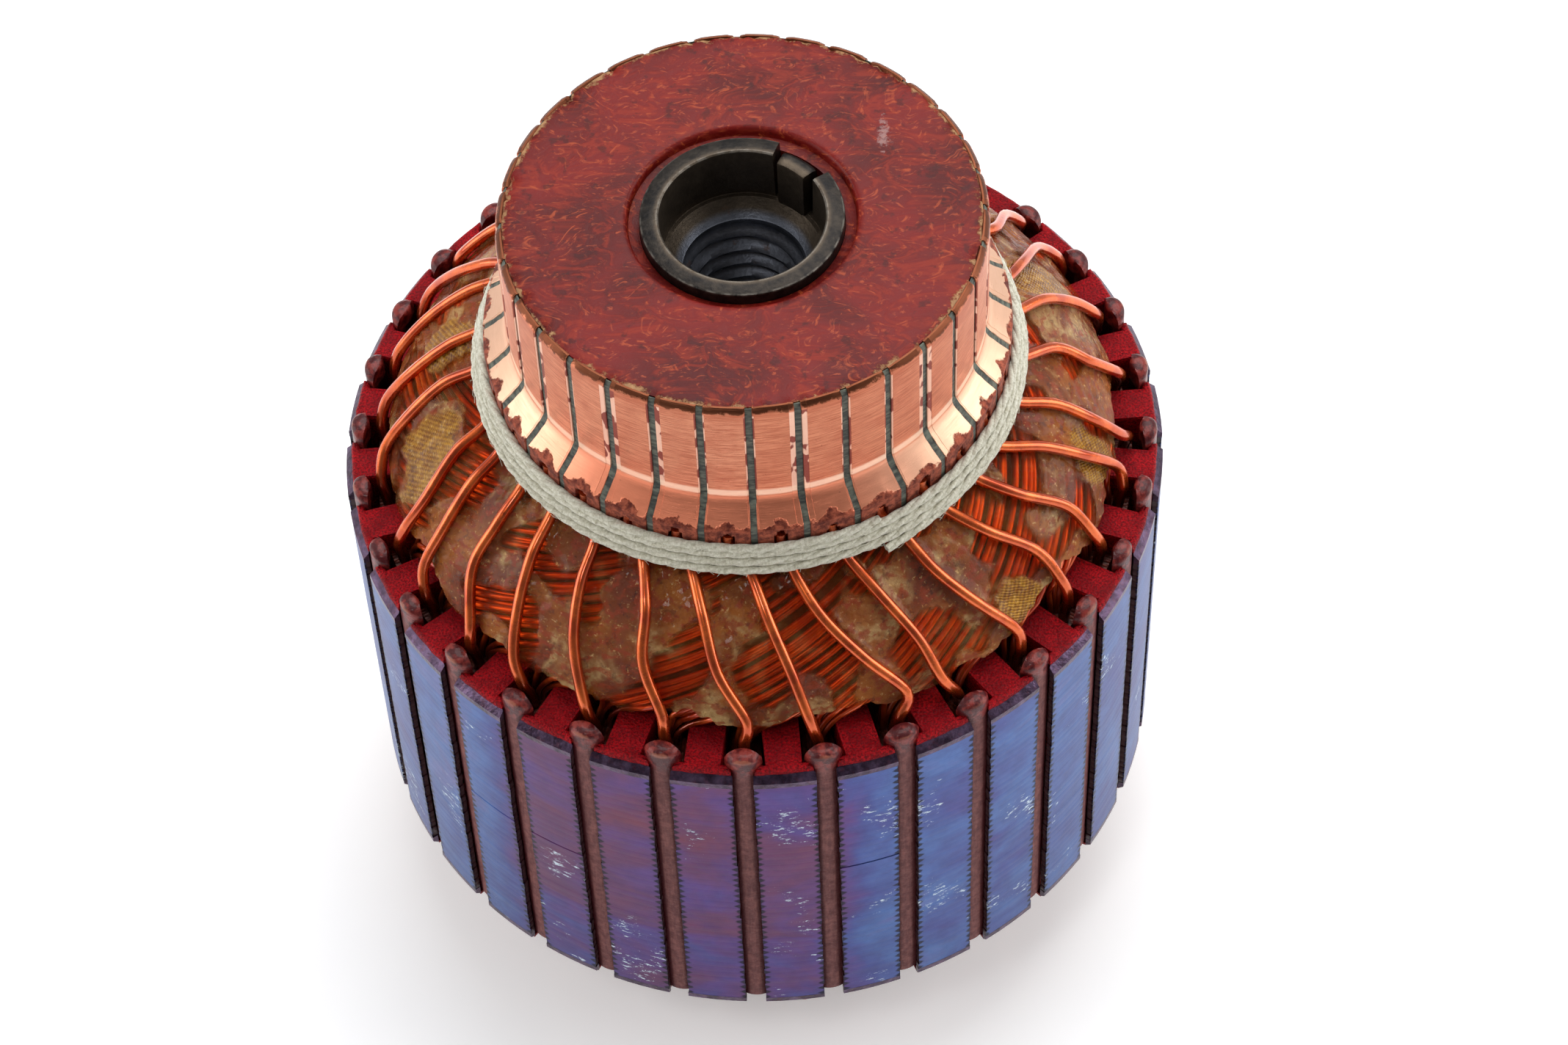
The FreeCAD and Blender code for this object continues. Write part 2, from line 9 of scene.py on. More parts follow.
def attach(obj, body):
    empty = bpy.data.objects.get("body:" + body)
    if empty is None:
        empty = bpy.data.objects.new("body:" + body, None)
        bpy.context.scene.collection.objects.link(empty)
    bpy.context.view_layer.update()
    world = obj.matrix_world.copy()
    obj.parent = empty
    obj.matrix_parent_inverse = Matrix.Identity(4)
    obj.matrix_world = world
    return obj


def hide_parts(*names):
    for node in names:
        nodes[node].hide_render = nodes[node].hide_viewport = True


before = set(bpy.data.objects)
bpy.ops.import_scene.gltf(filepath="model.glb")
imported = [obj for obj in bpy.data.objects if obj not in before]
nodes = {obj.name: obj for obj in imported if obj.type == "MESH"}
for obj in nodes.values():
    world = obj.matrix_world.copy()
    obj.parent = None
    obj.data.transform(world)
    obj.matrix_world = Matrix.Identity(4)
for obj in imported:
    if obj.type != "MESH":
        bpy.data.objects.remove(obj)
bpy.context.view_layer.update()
random.seed(7)
vary = random.uniform
milli = 0.001
slotCount = 32
pitch = 2 * math.pi / slotCount
print("frame loaded,", len(nodes), "nodes")


# a shader socket that can be used in sums
class Val:
    def __init__(self, look, socket):
        self.look, self.socket = look, socket

    def __add__(self, other):
        return self.look.math("ADD", self, other)

    def __sub__(self, other):
        return self.look.math("SUBTRACT", self, other)

    def __rsub__(self, other):
        return self.look.math("SUBTRACT", other, self)

    def __mul__(self, other):
        return self.look.math("MULTIPLY", self, other)

    __radd__ = __add__
    __rmul__ = __mul__


# one material and the calls that add nodes to it
class Look:
    def __init__(self, name):
        self.material = bpy.data.materials.new(name)
        self.material.use_nodes = True
        self.tree = self.material.node_tree
        self.tree.nodes.clear()
        self.spot = self.node("VectorMath", {"operation": "SCALE"}, {
            0: self.node("TexCoord", {}, {}, "Object"), "Scale": 1 / milli})
        self.x, self.y, self.z = [self.node("SeparateXYZ", {}, {0: self.spot}, i) for i in range(3)]
        self.angle = self.math("ARCTAN2", self.y, self.x)
        self.radius = self.math("SQRT", self.x * self.x + self.y * self.y)

    # the same calls on a tree that isn't a material's
    @classmethod
    def over(cls, tree):
        made = cls.__new__(cls)
        made.tree = tree
        return made

    def node(self, kind, settings, sockets, output=0):
        made = self.tree.nodes.new("ShaderNode" + kind)
        for key, value in settings.items():
            if key == "stops":
                while len(made.color_ramp.elements) < len(value):
                    made.color_ramp.elements.new(0.5)
                for element, (place, colour) in zip(made.color_ramp.elements, value):
                    element.position, element.color = place, colour
            else:
                setattr(made, key, value)
        for key, value in sockets.items():
            if isinstance(value, Val):
                self.tree.links.new(value.socket, made.inputs[key])
            else:
                made.inputs[key].default_value = value
        return Val(self, made.outputs[output])

    def math(self, operation, a, b=0.0):
        return self.node("Math", {"operation": operation}, {0: a, 1: b})

    def vector(self, x=0.0, y=0.0, z=0.0):
        return self.node("CombineXYZ", {}, {0: x, 1: y, 2: z})

    def noise(self, scale=1.0, spot=None, detail=3.0, rough=0.55, twist=0.0):
        return self.node("TexNoise", {}, {
            "Vector": spot or self.spot, "Scale": scale, "Detail": detail,
            "Roughness": rough, "Distortion": twist})

    def cells(self, scale=1.0, spot=None):
        return self.node("TexVoronoi", {}, {"Vector": spot or self.spot, "Scale": scale})

    def step(self, value, low, high, start=0.0, end=1.0):
        return self.node("MapRange", {"interpolation_type": "SMOOTHSTEP"}, {
            "Value": value, "From Min": low, "From Max": high, "To Min": start, "To Max": end})

    # a tone of three numbers is in display values
    def mix(self, share, *tones):
        a, b = [tint(*t) if isinstance(t, tuple) and len(t) == 3 else t for t in tones]
        return self.node("Mix", {"data_type": "RGBA"}, {0: share, 6: a, 7: b}, 2)

    def ramp(self, value, *stops):
        return self.node("ValToRGB", {"stops": stops}, {0: value})

    def island(self):
        return self.node("NewGeometry", {}, {}, "Random Per Island")

    def around(self, turns, rise, inward=0.0):
        return self.vector(self.angle * turns, self.z * rise, self.radius * inward)

    def bump(self, height, depth):
        return self.node("Bump", {}, {"Height": height, "Distance": depth * milli})

    def close(self, shader):
        made = self.tree.nodes.new("ShaderNodeOutputMaterial")
        self.tree.links.new(shader.socket, made.inputs["Surface"])
        return self.material

    # the usual material: one principled shader; bump is a height and its depth in millimetres
    def surface(self, colour, rough, bump=None, more={}):
        normal = {"Normal": self.bump(*bump)} if bump else {}
        return self.close(self.node("BsdfPrincipled", {}, {
            "Base Color": colour, "Roughness": rough, **normal, **more}))


# display values, 0 to 255, as a linear colour
def tint(red, green, blue):
    values = [v / 255 for v in (red, green, blue)]
    return tuple(v / 12.92 if v <= 0.04045 else ((v + 0.055) / 1.055) ** 2.4 for v in values) + (1.0,)


# points and faces in millimetres, gathered into one piece
class Shape:
    def __init__(self):
        self.points, self.faces, self.kinds, self.count, self.kind = [], [], [], 0, 0

    def add(self, points, faces):
        points = np.asarray(points, float).reshape(-1, 3)
        self.faces += [[i + self.count for i in face] for face in faces]
        self.kinds += [self.kind] * len(faces)
        self.points.append(points)
        self.count += len(points)

    # a skin over rows of points; each row closes on itself, and a loop of rows closes too
    def grid(self, rows, loop=False, ends=True):
        rows = np.asarray(rows, float)
        n, m = rows.shape[:2]
        i = np.arange(n if loop else n - 1)[:, None]
        j = np.arange(m)[None, :]
        after, beside = (i + 1) % n, (j + 1) % m
        quads = np.stack([i * m + j, i * m + beside, after * m + beside, after * m + j], -1)
        faces = quads.reshape(-1, 4).tolist()
        if ends and not loop:
            faces += [list(range(m))[::-1], list(range((n - 1) * m, n * m))]
        self.add(rows, faces)

    def piece(self, name, materials, crease=40):
        mesh = bpy.data.meshes.new(name)
        mesh.from_pydata((np.concatenate(self.points) * milli).tolist(), [], self.faces)
        mesh.polygons.foreach_set("use_smooth", [True] * len(mesh.polygons))
        mesh.set_sharp_from_angle(angle=math.radians(crease))
        for material in materials if isinstance(materials, list) else [materials]:
            mesh.materials.append(material)
        self.kinds += [self.kind] * (len(self.faces) - len(self.kinds))
        mesh.polygons.foreach_set("material_index", self.kinds)
        made = bpy.data.objects.new(name, mesh)
        bpy.context.scene.collection.objects.link(made)
        return made


def place(made, slot, *replaced):
    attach(made, "root")
    if replaced:
        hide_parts(*replaced)
    print("made", made.name, len(made.data.vertices), "points")


# a CAD node keeps its shape and takes a better material
def dress(name, material):
    node = nodes[name]
    if node.material_slots:
        for slot in node.material_slots:
            slot.material = material
    else:
        node.data.materials.append(material)


def polar(angle, radius, height):
    return np.stack(np.broadcast_arrays(radius * np.cos(angle), radius * np.sin(angle), height), -1)


# the same for rows of (angle, radius, height)
def turned(spots):
    return polar(*np.moveaxis(np.asarray(spots, float), -1, 0))


# even steps round the axis
def ringAngles(count):
    return np.linspace(0, 2 * np.pi, count, endpoint=False)


def between(a, b, share):
    return a + (b - a) * share


def wobble(x, y, z=0.0):
    return noise.noise(Vector((x, y, z)))


# noise that closes on itself round the object
def ringNoise(angle, size, z=0.0, seed=0.0):
    return noise.noise(Vector((math.cos(angle) * size, math.sin(angle) * size, z + seed)))


# a smooth line through its points
def smooth(points, count):
    points = np.asarray(points, float)
    padded = np.vstack([2 * points[0] - points[1], points, 2 * points[-1] - points[-2]])
    out = []
    for s in np.linspace(0, len(points) - 1 - 1e-9, count):
        i, t = int(s), s - int(s)
        a, b, c, d = padded[i:i + 4]
        out.append(0.5 * (2 * b + (c - a) * t + (2 * a - 5 * b + 4 * c - d) * t ** 2
                          + (3 * b - a - 3 * c + d) * t ** 3))
    return np.array(out)


# two directions square to a line that never points straight at the axis: sideways and outwards
def across(path):
    along = np.gradient(path, axis=0)
    along /= np.linalg.norm(along, axis=1)[:, None]
    side = np.cross(along, path * (1, 1, 0))
    side /= np.linalg.norm(side, axis=1)[:, None]
    return side, np.cross(side, along)


# sections of a round wire
def wire(path, thick, sides):
    side, out = across(path)
    turn = ringAngles(sides)[None, :, None]
    return path[:, None] + thick * (np.cos(turn) * side[:, None] + np.sin(turn) * out[:, None])


# ---- camera, light and floor
cameraSetup = dict(place=(8.81, -129.26, 200.02), target=(1.32, 0.09, 21.19), lens=98.2, lean=-2.556)
eye = bpy.data.objects.new("camera", bpy.data.cameras.new("camera"))
eye.data.lens = cameraSetup["lens"]
eye.data.sensor_width = 36
eye.data.clip_start = 0.005
eyeAt = Vector(cameraSetup["place"]) * milli
gaze = (Vector(cameraSetup["target"]) * milli - eyeAt).to_track_quat("-Z", "Y")
lean = Matrix.Rotation(math.radians(cameraSetup["lean"]), 3, "Z")
eye.rotation_euler = (gaze.to_matrix() @ lean).to_euler()
eye.location = eyeAt
bpy.context.scene.collection.objects.link(eye)
bpy.context.scene.camera = eye
bpy.context.scene.view_settings.view_transform = "Standard"

lampAim = Vector((0, 0, 0.02))
lightSetup = [                                  # name, place, size, power
    ("above", (0.05, 0.22, 0.45), 0.42, 1.5),
    ("left", (-0.42, -0.02, 0.20), 0.34, 0.8),
    ("right", (0.42, 0.06, 0.22), 0.34, 0.9),
    ("glint", (-0.07, -0.16, 0.34), 0.06, 0.09),
]
for lampName, lampAt, lampSize, lampPower in lightSetup:
    lamp = bpy.data.objects.new(lampName, bpy.data.lights.new(lampName, "AREA"))
    lamp.data.shape = "DISK"
    lamp.data.size = lampSize
    lamp.data.energy = lampPower
    lamp.location = lampAt
    lamp.rotation_euler = (lampAim - Vector(lampAt)).to_track_quat("-Z", "Y").to_euler()
    bpy.context.scene.collection.objects.link(lamp)
world = bpy.data.worlds.new("studio")
bpy.context.scene.world = world
world.use_nodes = True
worldSetup = dict(strength=0.62, darkSide=(0.0, -0.78, 0.56), shade=0.22)
sky = Look.over(world.node_tree)
facing = sky.node("VectorMath", {"operation": "DOT_PRODUCT"}, {
    0: sky.node("TexCoord", {}, {}, "Generated"), 1: worldSetup["darkSide"]}, "Value")
darkShare = sky.step(facing, 0.45, 0.9)
world.node_tree.links.new(
    sky.mix(darkShare, (0.98, 0.99, 1.0, 1), (worldSetup["shade"],) * 3 + (1,)).socket,
    world.node_tree.nodes["Background"].inputs["Color"])
world.node_tree.nodes["Background"].inputs["Strength"].default_value = worldSetup["strength"]

look = Look("paper floor")
floorGrain = look.noise(0.6, detail=2)
floorLook = look.surface(
    look.mix(floorGrain, (248, 248, 249), (251, 251, 251)), 0.75,
    more={"Specular IOR Level": 0.2, "Emission Color": (1, 1, 1, 1), "Emission Strength": 0.24})
floorHalf = 900
floorShape = Shape()
floorCorners = [(-1, -1), (1, -1), (1, 1), (-1, 1)]
floorShape.add([(floorHalf * x, floorHalf * y, 0) for x, y in floorCorners], [range(4)])
floorShape.piece("floor", floorLook)
print("studio ready")


# ---- levels, radii and half widths shared by the pieces, in millimetres
coreLow, coreHigh = 8.0, 28.0
rimRadius, boreRadius, rootRadius, shoulderRadius = 20.5, 5.5, 12.5, 19.75
toothHalf, openingHalf, tipDepth = 0.75, 0.5, 0.3


# outline of a slotted plate as (angle, radius) corners, one tooth after another
def plateOutline(rim, opening=openingHalf, wall=toothHalf, tip=tipDepth):
    half = pitch / 2
    mouth = half - opening / rim
    shoulder = half - math.asin(wall / shoulderRadius)
    side = [(-half, rootRadius), (-half * 0.45, rootRadius + 0.06)]
    side += [(-math.asin(wall / r), r) for r in (13.2, 15.5, 17.5, 19.0, shoulderRadius)]
    side += [((shoulder + opening / rim) / 2 - half, (shoulderRadius + rim - tip) / 2),
             (-mouth, rim - tip), (-mouth, rim)]
    top = [(mouth * share, rim) for share in (-0.93, -0.7, -0.35, 0.0, 0.35, 0.7, 0.93)]
    corners = side + top + [(-a, r) for a, r in side[:0:-1]]
    return np.array([((tooth + 0.5) * pitch + a, r) for tooth in range(slotCount) for a, r in corners])


# closed body between a slotted outline and a round bore; rings holds (height, angles, radii)
def slottedBody(shape, rings, bore, holeSteps=128):
    rows = np.array([polar(a, r, z) for z, a, r in rings])
    hole = np.array([polar(ringAngles(holeSteps), bore, rings[end][0])[::-1] for end in (0, -1)])
    count = rows.shape[1]
    first = shape.count
    shape.grid(rows, ends=False)
    firstHole = shape.count
    shape.grid(hole, ends=False)
    lastRow = first + (len(rows) - 1) * count
    for end, outer, inner in ((0, first, firstHole), (-1, lastRow, firstHole + holeSteps)):
        cap = bmesh.new()
        verts = [cap.verts.new(Vector(p)) for p in (*rows[end], *hole[end])]
        ids = [*range(outer, outer + count), *range(inner, inner + holeSteps)]
        edges = []
        for start, size in ((0, count), (count, holeSteps)):
            edges += [cap.edges.new((verts[start + k], verts[start + (k + 1) % size])) for k in range(size)]
        bmesh.ops.triangle_fill(cap, use_beauty=False, use_dissolve=False, edges=edges)
        cap.verts.index_update()
        for face in cap.faces:
            corner = [ids[v.index] for v in face.verts]
            facesOut = (face.normal.z > 0) == (end == -1)
            shape.faces.append(corner if facesOut else corner[::-1])
        cap.free()


# ---- core: ground and blued laminations
coreSetup = dict(sheets=40, jointDepth=0.006, jointSetback=0.02, rimPlay=0.008, edgePlay=0.045,
                 slideShare=0.3, crackDepth=0.12, faceShares=(0.12, 0.88))
# height, and where the crack starts and ends in degrees
coreCracks = [(19.25, -136, -113), (20.25, -75.5, -72.8), (19.75, -66.0, -62.5), (13.5, 30, 60),
              (22.0, 95, 120)]
sheetThick = (coreHigh - coreLow) / coreSetup["sheets"]
outline = plateOutline(rimRadius)
onTooth = np.floor(outline[:, 0] / pitch).astype(int)
middles = (onTooth + 0.5) * pitch
offset = outline[:, 0] - middles
degrees = (np.degrees(middles) + 180) % 360 - 180
onRim = outline[:, 1] > rimRadius - tipDepth - 0.01
onTip = outline[:, 1] > shoulderRadius + 0.05
jointNarrow = np.where(onRim, 1 - coreSetup["jointSetback"] / (2 * toothHalf), 1)
rings = []
for k in range(coreSetup["sheets"]):
    low = coreLow + k * sheetThick
    sheetRim = vary(-1, 0) * coreSetup["rimPlay"]
    slide = np.array([random.gauss(0, 0.5) * coreSetup["edgePlay"] for _ in range(slotCount)])
    grow = np.array([vary(-1, 0.15) * coreSetup["edgePlay"] for _ in range(slotCount)])
    shift = (slide[onTooth] * coreSetup["slideShare"] + np.sign(offset) * grow[onTooth]) / rimRadius
    joint = np.where(onRim, coreSetup["jointDepth"], 0)
    for level, start, end in coreCracks:
        if low <= level < low + sheetThick:
            joint += np.where(onRim & (degrees > start) & (degrees < end), coreSetup["crackDepth"], 0)
    angle = outline[:, 0] + np.where(onTip, shift, 0)
    rings.append((low, middles + (angle - middles) * jointNarrow, outline[:, 1] - joint))
    rings += [(low + sheetThick * share, angle, outline[:, 1] + np.where(onRim, sheetRim, 0))
              for share in coreSetup["faceShares"]]
rings.append((coreHigh, outline[:, 0], outline[:, 1] - np.where(onRim, coreSetup["jointDepth"], 0)))

look = Look("blued lamination steel")
toothNumber = look.math("FLOOR", look.angle * (1 / pitch))
toothTone = look.noise(0.9, look.vector(toothNumber * 3.1), detail=1)
patch = look.noise(1.0, look.around(3.6, 0.24), detail=4, twist=0.5)
spots = look.noise(0.9, detail=5, rough=0.65)
# painted shade: teeth round the front, near -101 degrees, are pushed to darker, redder temper tones, less so
# low on the stack
toothFrontShade = look.step(look.math("COSINE", look.angle + math.radians(101)), 0.86, 0.95)
lowPart = look.step(look.z + patch * 5.0 + toothTone * 3.0, 18.2, 17.7)
mood = 0.68 - toothFrontShade * (0.40 - lowPart * 0.13) + (toothTone - 0.5) * 0.35 + (patch - 0.5) * 0.9
heat = look.ramp(mood,
                 (0.08, tint(112, 60, 74)), (0.27, tint(100, 62, 96)), (0.40, tint(90, 66, 122)),
                 (0.55, tint(72, 80, 138)), (0.76, tint(78, 106, 160)), (0.95, tint(108, 102, 150)))
grind = look.noise(1.6, look.around(4.0, 9.0), rough=0.7)
sheetLine = look.math("ABSOLUTE", look.math("SINE", look.z * (math.pi / sheetThick)))
seam = look.step(sheetLine, 0.0, 0.16, 0.8, 1.0)
flakeField = look.step(look.noise(0.24, detail=2), 0.52, 0.68) * 0.15
flakeGrain = look.noise(1.5, look.around(20.5, 2.4), detail=6, rough=0.78)
flake = look.step(flakeGrain + flakeField, 0.705, 0.73)
acrossTooth = look.math("ABSOLUTE", look.math("FRACT", look.angle * (1 / pitch)) - 0.5) * 4.02
comb = look.math("SINE", look.z * (2 * math.pi / sheetThick)) * look.noise(0.9) * 0.26
combNoise = (look.noise(3.0) - 0.5) * 0.2
serrate = look.step(acrossTooth + comb + combNoise, 1.28, 1.46)
darken = look.step(look.radius, rimRadius - 0.12, rimRadius - 0.03)
baseTone = look.mix(look.step(spots, 0.3, 0.75) * 0.35, heat, (52, 42, 86))
lined = look.mix(serrate * 0.9 + (1 - seam) * 0.6, baseTone, (18, 14, 26))
ground = look.mix(flake, lined, (200, 214, 224))
# painted shade: inside the ground rim, at the slot mouth walls and the bore, the steel takes a very dark
# red, the red coat's colour darkened
shadedSlotRed = look.mix(look.noise(2.0), (60, 20, 26), (30, 14, 20))
coreLook = look.surface(
    look.mix(darken, shadedSlotRed, ground), 0.32 + grind * 0.16 + flake * 0.3,
    (grind * 0.5 + seam * 0.6, 0.012),
    {"Metallic": look.step(look.radius, rimRadius - 0.15, rimRadius - 0.05) * (1 - flake * 0.7)})
shape = Shape()
slottedBody(shape, rings, boreRadius)
place(shape.piece("coreStack", coreLook, 35), "core_steel", "lamination_stack")


# ---- red insulating powder on both end faces
coatSetup = dict(thick=0.3, roundOver=0.17, rag=0.07, boreGap=0.02)
look = Look("red powder coat")
grain = look.noise(9.0, detail=4, rough=0.7)
cloud = look.noise(0.9)
grit = look.cells(7.0)
redTone = look.mix(look.step(cloud, 0.3, 0.7), (136, 2, 14), (184, 12, 24))
coatLook = look.surface(
    look.mix(look.step(grain, 0.4, 0.62), redTone, (96, 4, 14)),
    look.step(cloud, 0.2, 0.8, 0.3, 0.5), (grain + grit * 0.6, 0.07), {"Specular IOR Level": 0.12})


# the coat's outline moved inwards along its own normals
def insetOutline(corners, depth):
    flat = np.stack([corners[:, 1] * np.cos(corners[:, 0]), corners[:, 1] * np.sin(corners[:, 0])], -1)
    ahead, behind = np.roll(flat, -1, 0) - flat, flat - np.roll(flat, 1, 0)
    side = ahead / np.linalg.norm(ahead, axis=1)[:, None] + behind / np.linalg.norm(behind, axis=1)[:, None]
    side /= np.maximum(np.linalg.norm(side, axis=1)[:, None], 0.35)
    moved = flat + np.stack([-side[:, 1], side[:, 0]], -1) * np.broadcast_to(depth, len(flat))[:, None]
    return np.arctan2(moved[:, 1], moved[:, 0]), np.hypot(moved[:, 0], moved[:, 1])


coatOutline = plateOutline(rim=20.15, opening=0.60, wall=0.87, tip=0.38)


# rises from the plate with a rounded rim and a ragged outline; sign is the way it faces
def endCoat(name, base, sign, node):
    rings = []
    rag = np.array([wobble(x * 30, y * 2, base) for x, y in coatOutline]) * coatSetup["rag"]
    rag += coatSetup["rag"] * 0.4
    for rise, depth in ((0, 0.02), (0.3, 0.0), (0.6, 0.02), (0.8, 0.3), (0.93, 0.6), (1.0, 1.1)):
        a, r = insetOutline(coatOutline, depth * coatSetup["roundOver"] - rag)
        rings.append((base + sign * coatSetup["thick"] * rise, a, r))
    shape = Shape()
    slottedBody(shape, rings[::sign], boreRadius + coatSetup["boreGap"])
    place(shape.piece(name, coatLook, 60), "red_coat", node)


endCoat("coatTop", 28.7, 1, "end_coat_top")
endCoat("coatFoot", 7.3, -1, "end_coat_bottom")
dress("slot_liners", coatLook)

look = Look("unground end sheet")
rust = look.noise(1.4, detail=5, rough=0.65)
spray = look.step(look.noise(3.2, detail=5, rough=0.7), 0.52, 0.62)
endTone = look.mix(look.step(rust, 0.35, 0.7), (52, 36, 54), (98, 78, 104))
endLook = look.surface(
    look.mix(spray * 0.25, endTone, (92, 18, 30)), 0.2 + rust * 0.2, (look.noise(5.0), 0.03),
    {"Metallic": 0.75 - spray * 0.2})
dress("end_lamination_top", endLook)
dress("end_lamination_bottom", endLook)
print("core done")


# ---- slot wedges: arched strips with varnished ends
wedgeSetup = dict(crown=20.20, edge=19.60, half=1.02, thick=0.30, capThick=0.92, roundOver=0.30,
                  earDrop=0.55, low=7.78, capLow=28.4, high=29.97)
look = Look("varnished wedge fibre")
fibre = look.noise(2.4, look.vector(look.x * 3, look.y * 3, look.z * 0.35), detail=4, rough=0.65)
inSlot = look.math("FRACT", look.angle * (1 / pitch) + 0.5) - 0.5
gapSide = look.step(inSlot + look.noise(1.0, look.vector(z=look.z * 0.5)) * 0.03, -0.105, -0.06)
topEnd = look.step(look.z, 28.2, 29.1)
flank = look.step(look.math("ABSOLUTE", inSlot + look.noise(1.5, detail=4) * 0.03 - 0.015), 0.06, 0.10)
leather = look.step(look.noise(2.2, detail=5, rough=0.75), 0.38, 0.66)
body = look.mix(look.step(fibre, 0.3, 0.75) * 0.4 + leather * 0.5, (92, 44, 46), (148, 92, 86))
shaded = look.mix(flank * 0.8, look.mix(gapSide, (66, 8, 14), body), (70, 10, 18))
varnishCloud = look.step(look.noise(2.2, detail=4), 0.42, 0.62)
varnish = look.mix(varnishCloud, (72, 14, 18), (132, 48, 42))
capRim = look.step(look.radius + look.noise(2.2) * 0.25, 20.16, 20.26)
varnish = look.mix(capRim * look.step(look.z, 29.5, 29.7) * 0.75, varnish, (160, 98, 78))
wedgeLook = look.surface(
    look.mix(topEnd, shaded, varnish), look.step(look.z, 28.0, 29.0, 0.5, 0.24) + fibre * 0.12,
    (fibre * 0.5 + look.noise(4.5, detail=4, rough=0.7), 0.05),
    {"Coat Weight": topEnd * 0.2, "Coat Roughness": 0.1, "Specular IOR Level": 0.2})
shape = Shape()
wedgeRise = wedgeSetup["crown"] - wedgeSetup["edge"]
for slot in range(slotCount):
    rows = []
    slide = vary(-0.05, 0.03)
    seed = vary(0, 50)
    tipHigh = wedgeSetup["high"] - vary(0.0, 0.35)
    wedgeFoot = wedgeSetup["low"] + vary(-0.12, 0.15)
    heights = [*np.linspace(wedgeFoot, wedgeSetup["capLow"], 26), 28.6, 28.8, 29.1, 29.4]
    heights += list(tipHigh - 0.22 * np.cos(np.linspace(0, np.pi / 2, 6)))
    for z in heights:
        free = max(0.0, (z - wedgeSetup["capLow"]) / (tipHigh - wedgeSetup["capLow"]))
        bow = 0.03 * wobble(z * 0.35, seed) + 0.05 * wobble(z * 1.6, seed + 9) * free
        lean = slide * min(1, max(0, (29.4 - z))) + 0.04 * wobble(z * 0.5, seed + 20)
        closing = max(0.0, (z - tipHigh + wedgeSetup["roundOver"]) / wedgeSetup["roundOver"])
        trim = wedgeSetup["roundOver"] * (1 - math.sqrt(max(0.0, 1 - closing ** 2)))
        thick = between(wedgeSetup["thick"], wedgeSetup["capThick"], min(1.0, free * 4))
        loop = []
        for sign, depth in ((1, trim), (-1, thick - trim * 0.6)):
            half = wedgeSetup["half"] * (1 - 0.10 * min(1.0, free * 3)) - depth * 0.6 - trim * 0.3
            for share in np.linspace(-1, 1, 15) * sign:
                arch = (1 - share * share) ** 0.62
                r = wedgeSetup["edge"] + wedgeRise * arch - depth * (0.2 + 0.8 * arch)
                loop.append((half * share + lean, r + min(0, bow) - 0.01))
        aside, r = np.array(loop).T
        drop = wedgeSetup["earDrop"] * free * np.abs(aside - lean) ** 3
        rows.append(polar(slot * pitch + aside / r, r, z - drop))
    shape.grid(rows)
place(shape.piece("slotWedges", wedgeLook, 50), "wedge_fibre", "slot_wedges")


# ---- the coil ends' shape: shoulder, crown and neck
crownSetup = dict(centre=(7.664, 23.97), bend=12.0, degrees=(29.6, 69.3), lipOut=2.275, lipUp=8.3)


# radius and height on the crown; share runs from the shoulder, 0, to the neck, 1
def crownAt(share, lift):
    share = np.asarray(share, float)
    angle = np.radians(between(*crownSetup["degrees"], np.clip(share, 0, 1)))
    r = crownSetup["centre"][0] + (crownSetup["bend"] + lift) * np.cos(angle)
    z = crownSetup["centre"][1] + (crownSetup["bend"] + lift) * np.sin(angle)
    below, above = np.minimum(share, 0), np.maximum(share - 1, 0)
    return r + below * (below < -0.04) * crownSetup["lipOut"], z + (below + above) * crownSetup["lipUp"]


look = Look("enamelled winding wire")
strand = look.island()
streak = look.noise(1.3)
wireTone = look.mix(strand, (226, 84, 26), (170, 44, 12))
bright = look.mix(look.step(streak, 0.45, 0.7) * 0.5, wireTone, (244, 120, 48))
# painted shade: the wires darken below z 29.9, down into the slot mouths
bright = look.mix(look.step(look.z, 29.9, 28.4) * 0.8, bright, (60, 16, 8))
windingLook = look.surface(
    bright, 0.26 + strand * 0.12, (streak, 0.01),
    {"Metallic": 0.55, "Coat Weight": 0.8, "Coat Roughness": 0.08})

# painted shade: a dark sheet under the top wires stands for the shaded wire mass beneath them
look = Look("painted shade under winding")
shadeSheetNoise = look.noise(1.5, detail=4)
shadeSheetLook = look.surface(
    look.mix(shadeSheetNoise, (30, 10, 8), (74, 26, 14)), 0.5, (shadeSheetNoise, 0.05))
windingSetup = dict(perSlot=6, thick=0.155, span=56.0, shadeSheetLift=-0.62, mouth=18.1, layerStep=0.5, inner=7.36,
                    low=29.02, high=36.58)
ringAngle = ringAngles(192)
back = [(17.0, windingSetup["low"]), (17.45, 29.5)]
back += [tuple(crownAt(s, windingSetup["shadeSheetLift"])) for s in np.linspace(0.02, 0.98, 14)]
back += [(11.1, 35.6), (11.0, windingSetup["high"]), (windingSetup["inner"], windingSetup["high"]),
         (windingSetup["inner"], windingSetup["low"])]
shape = Shape()
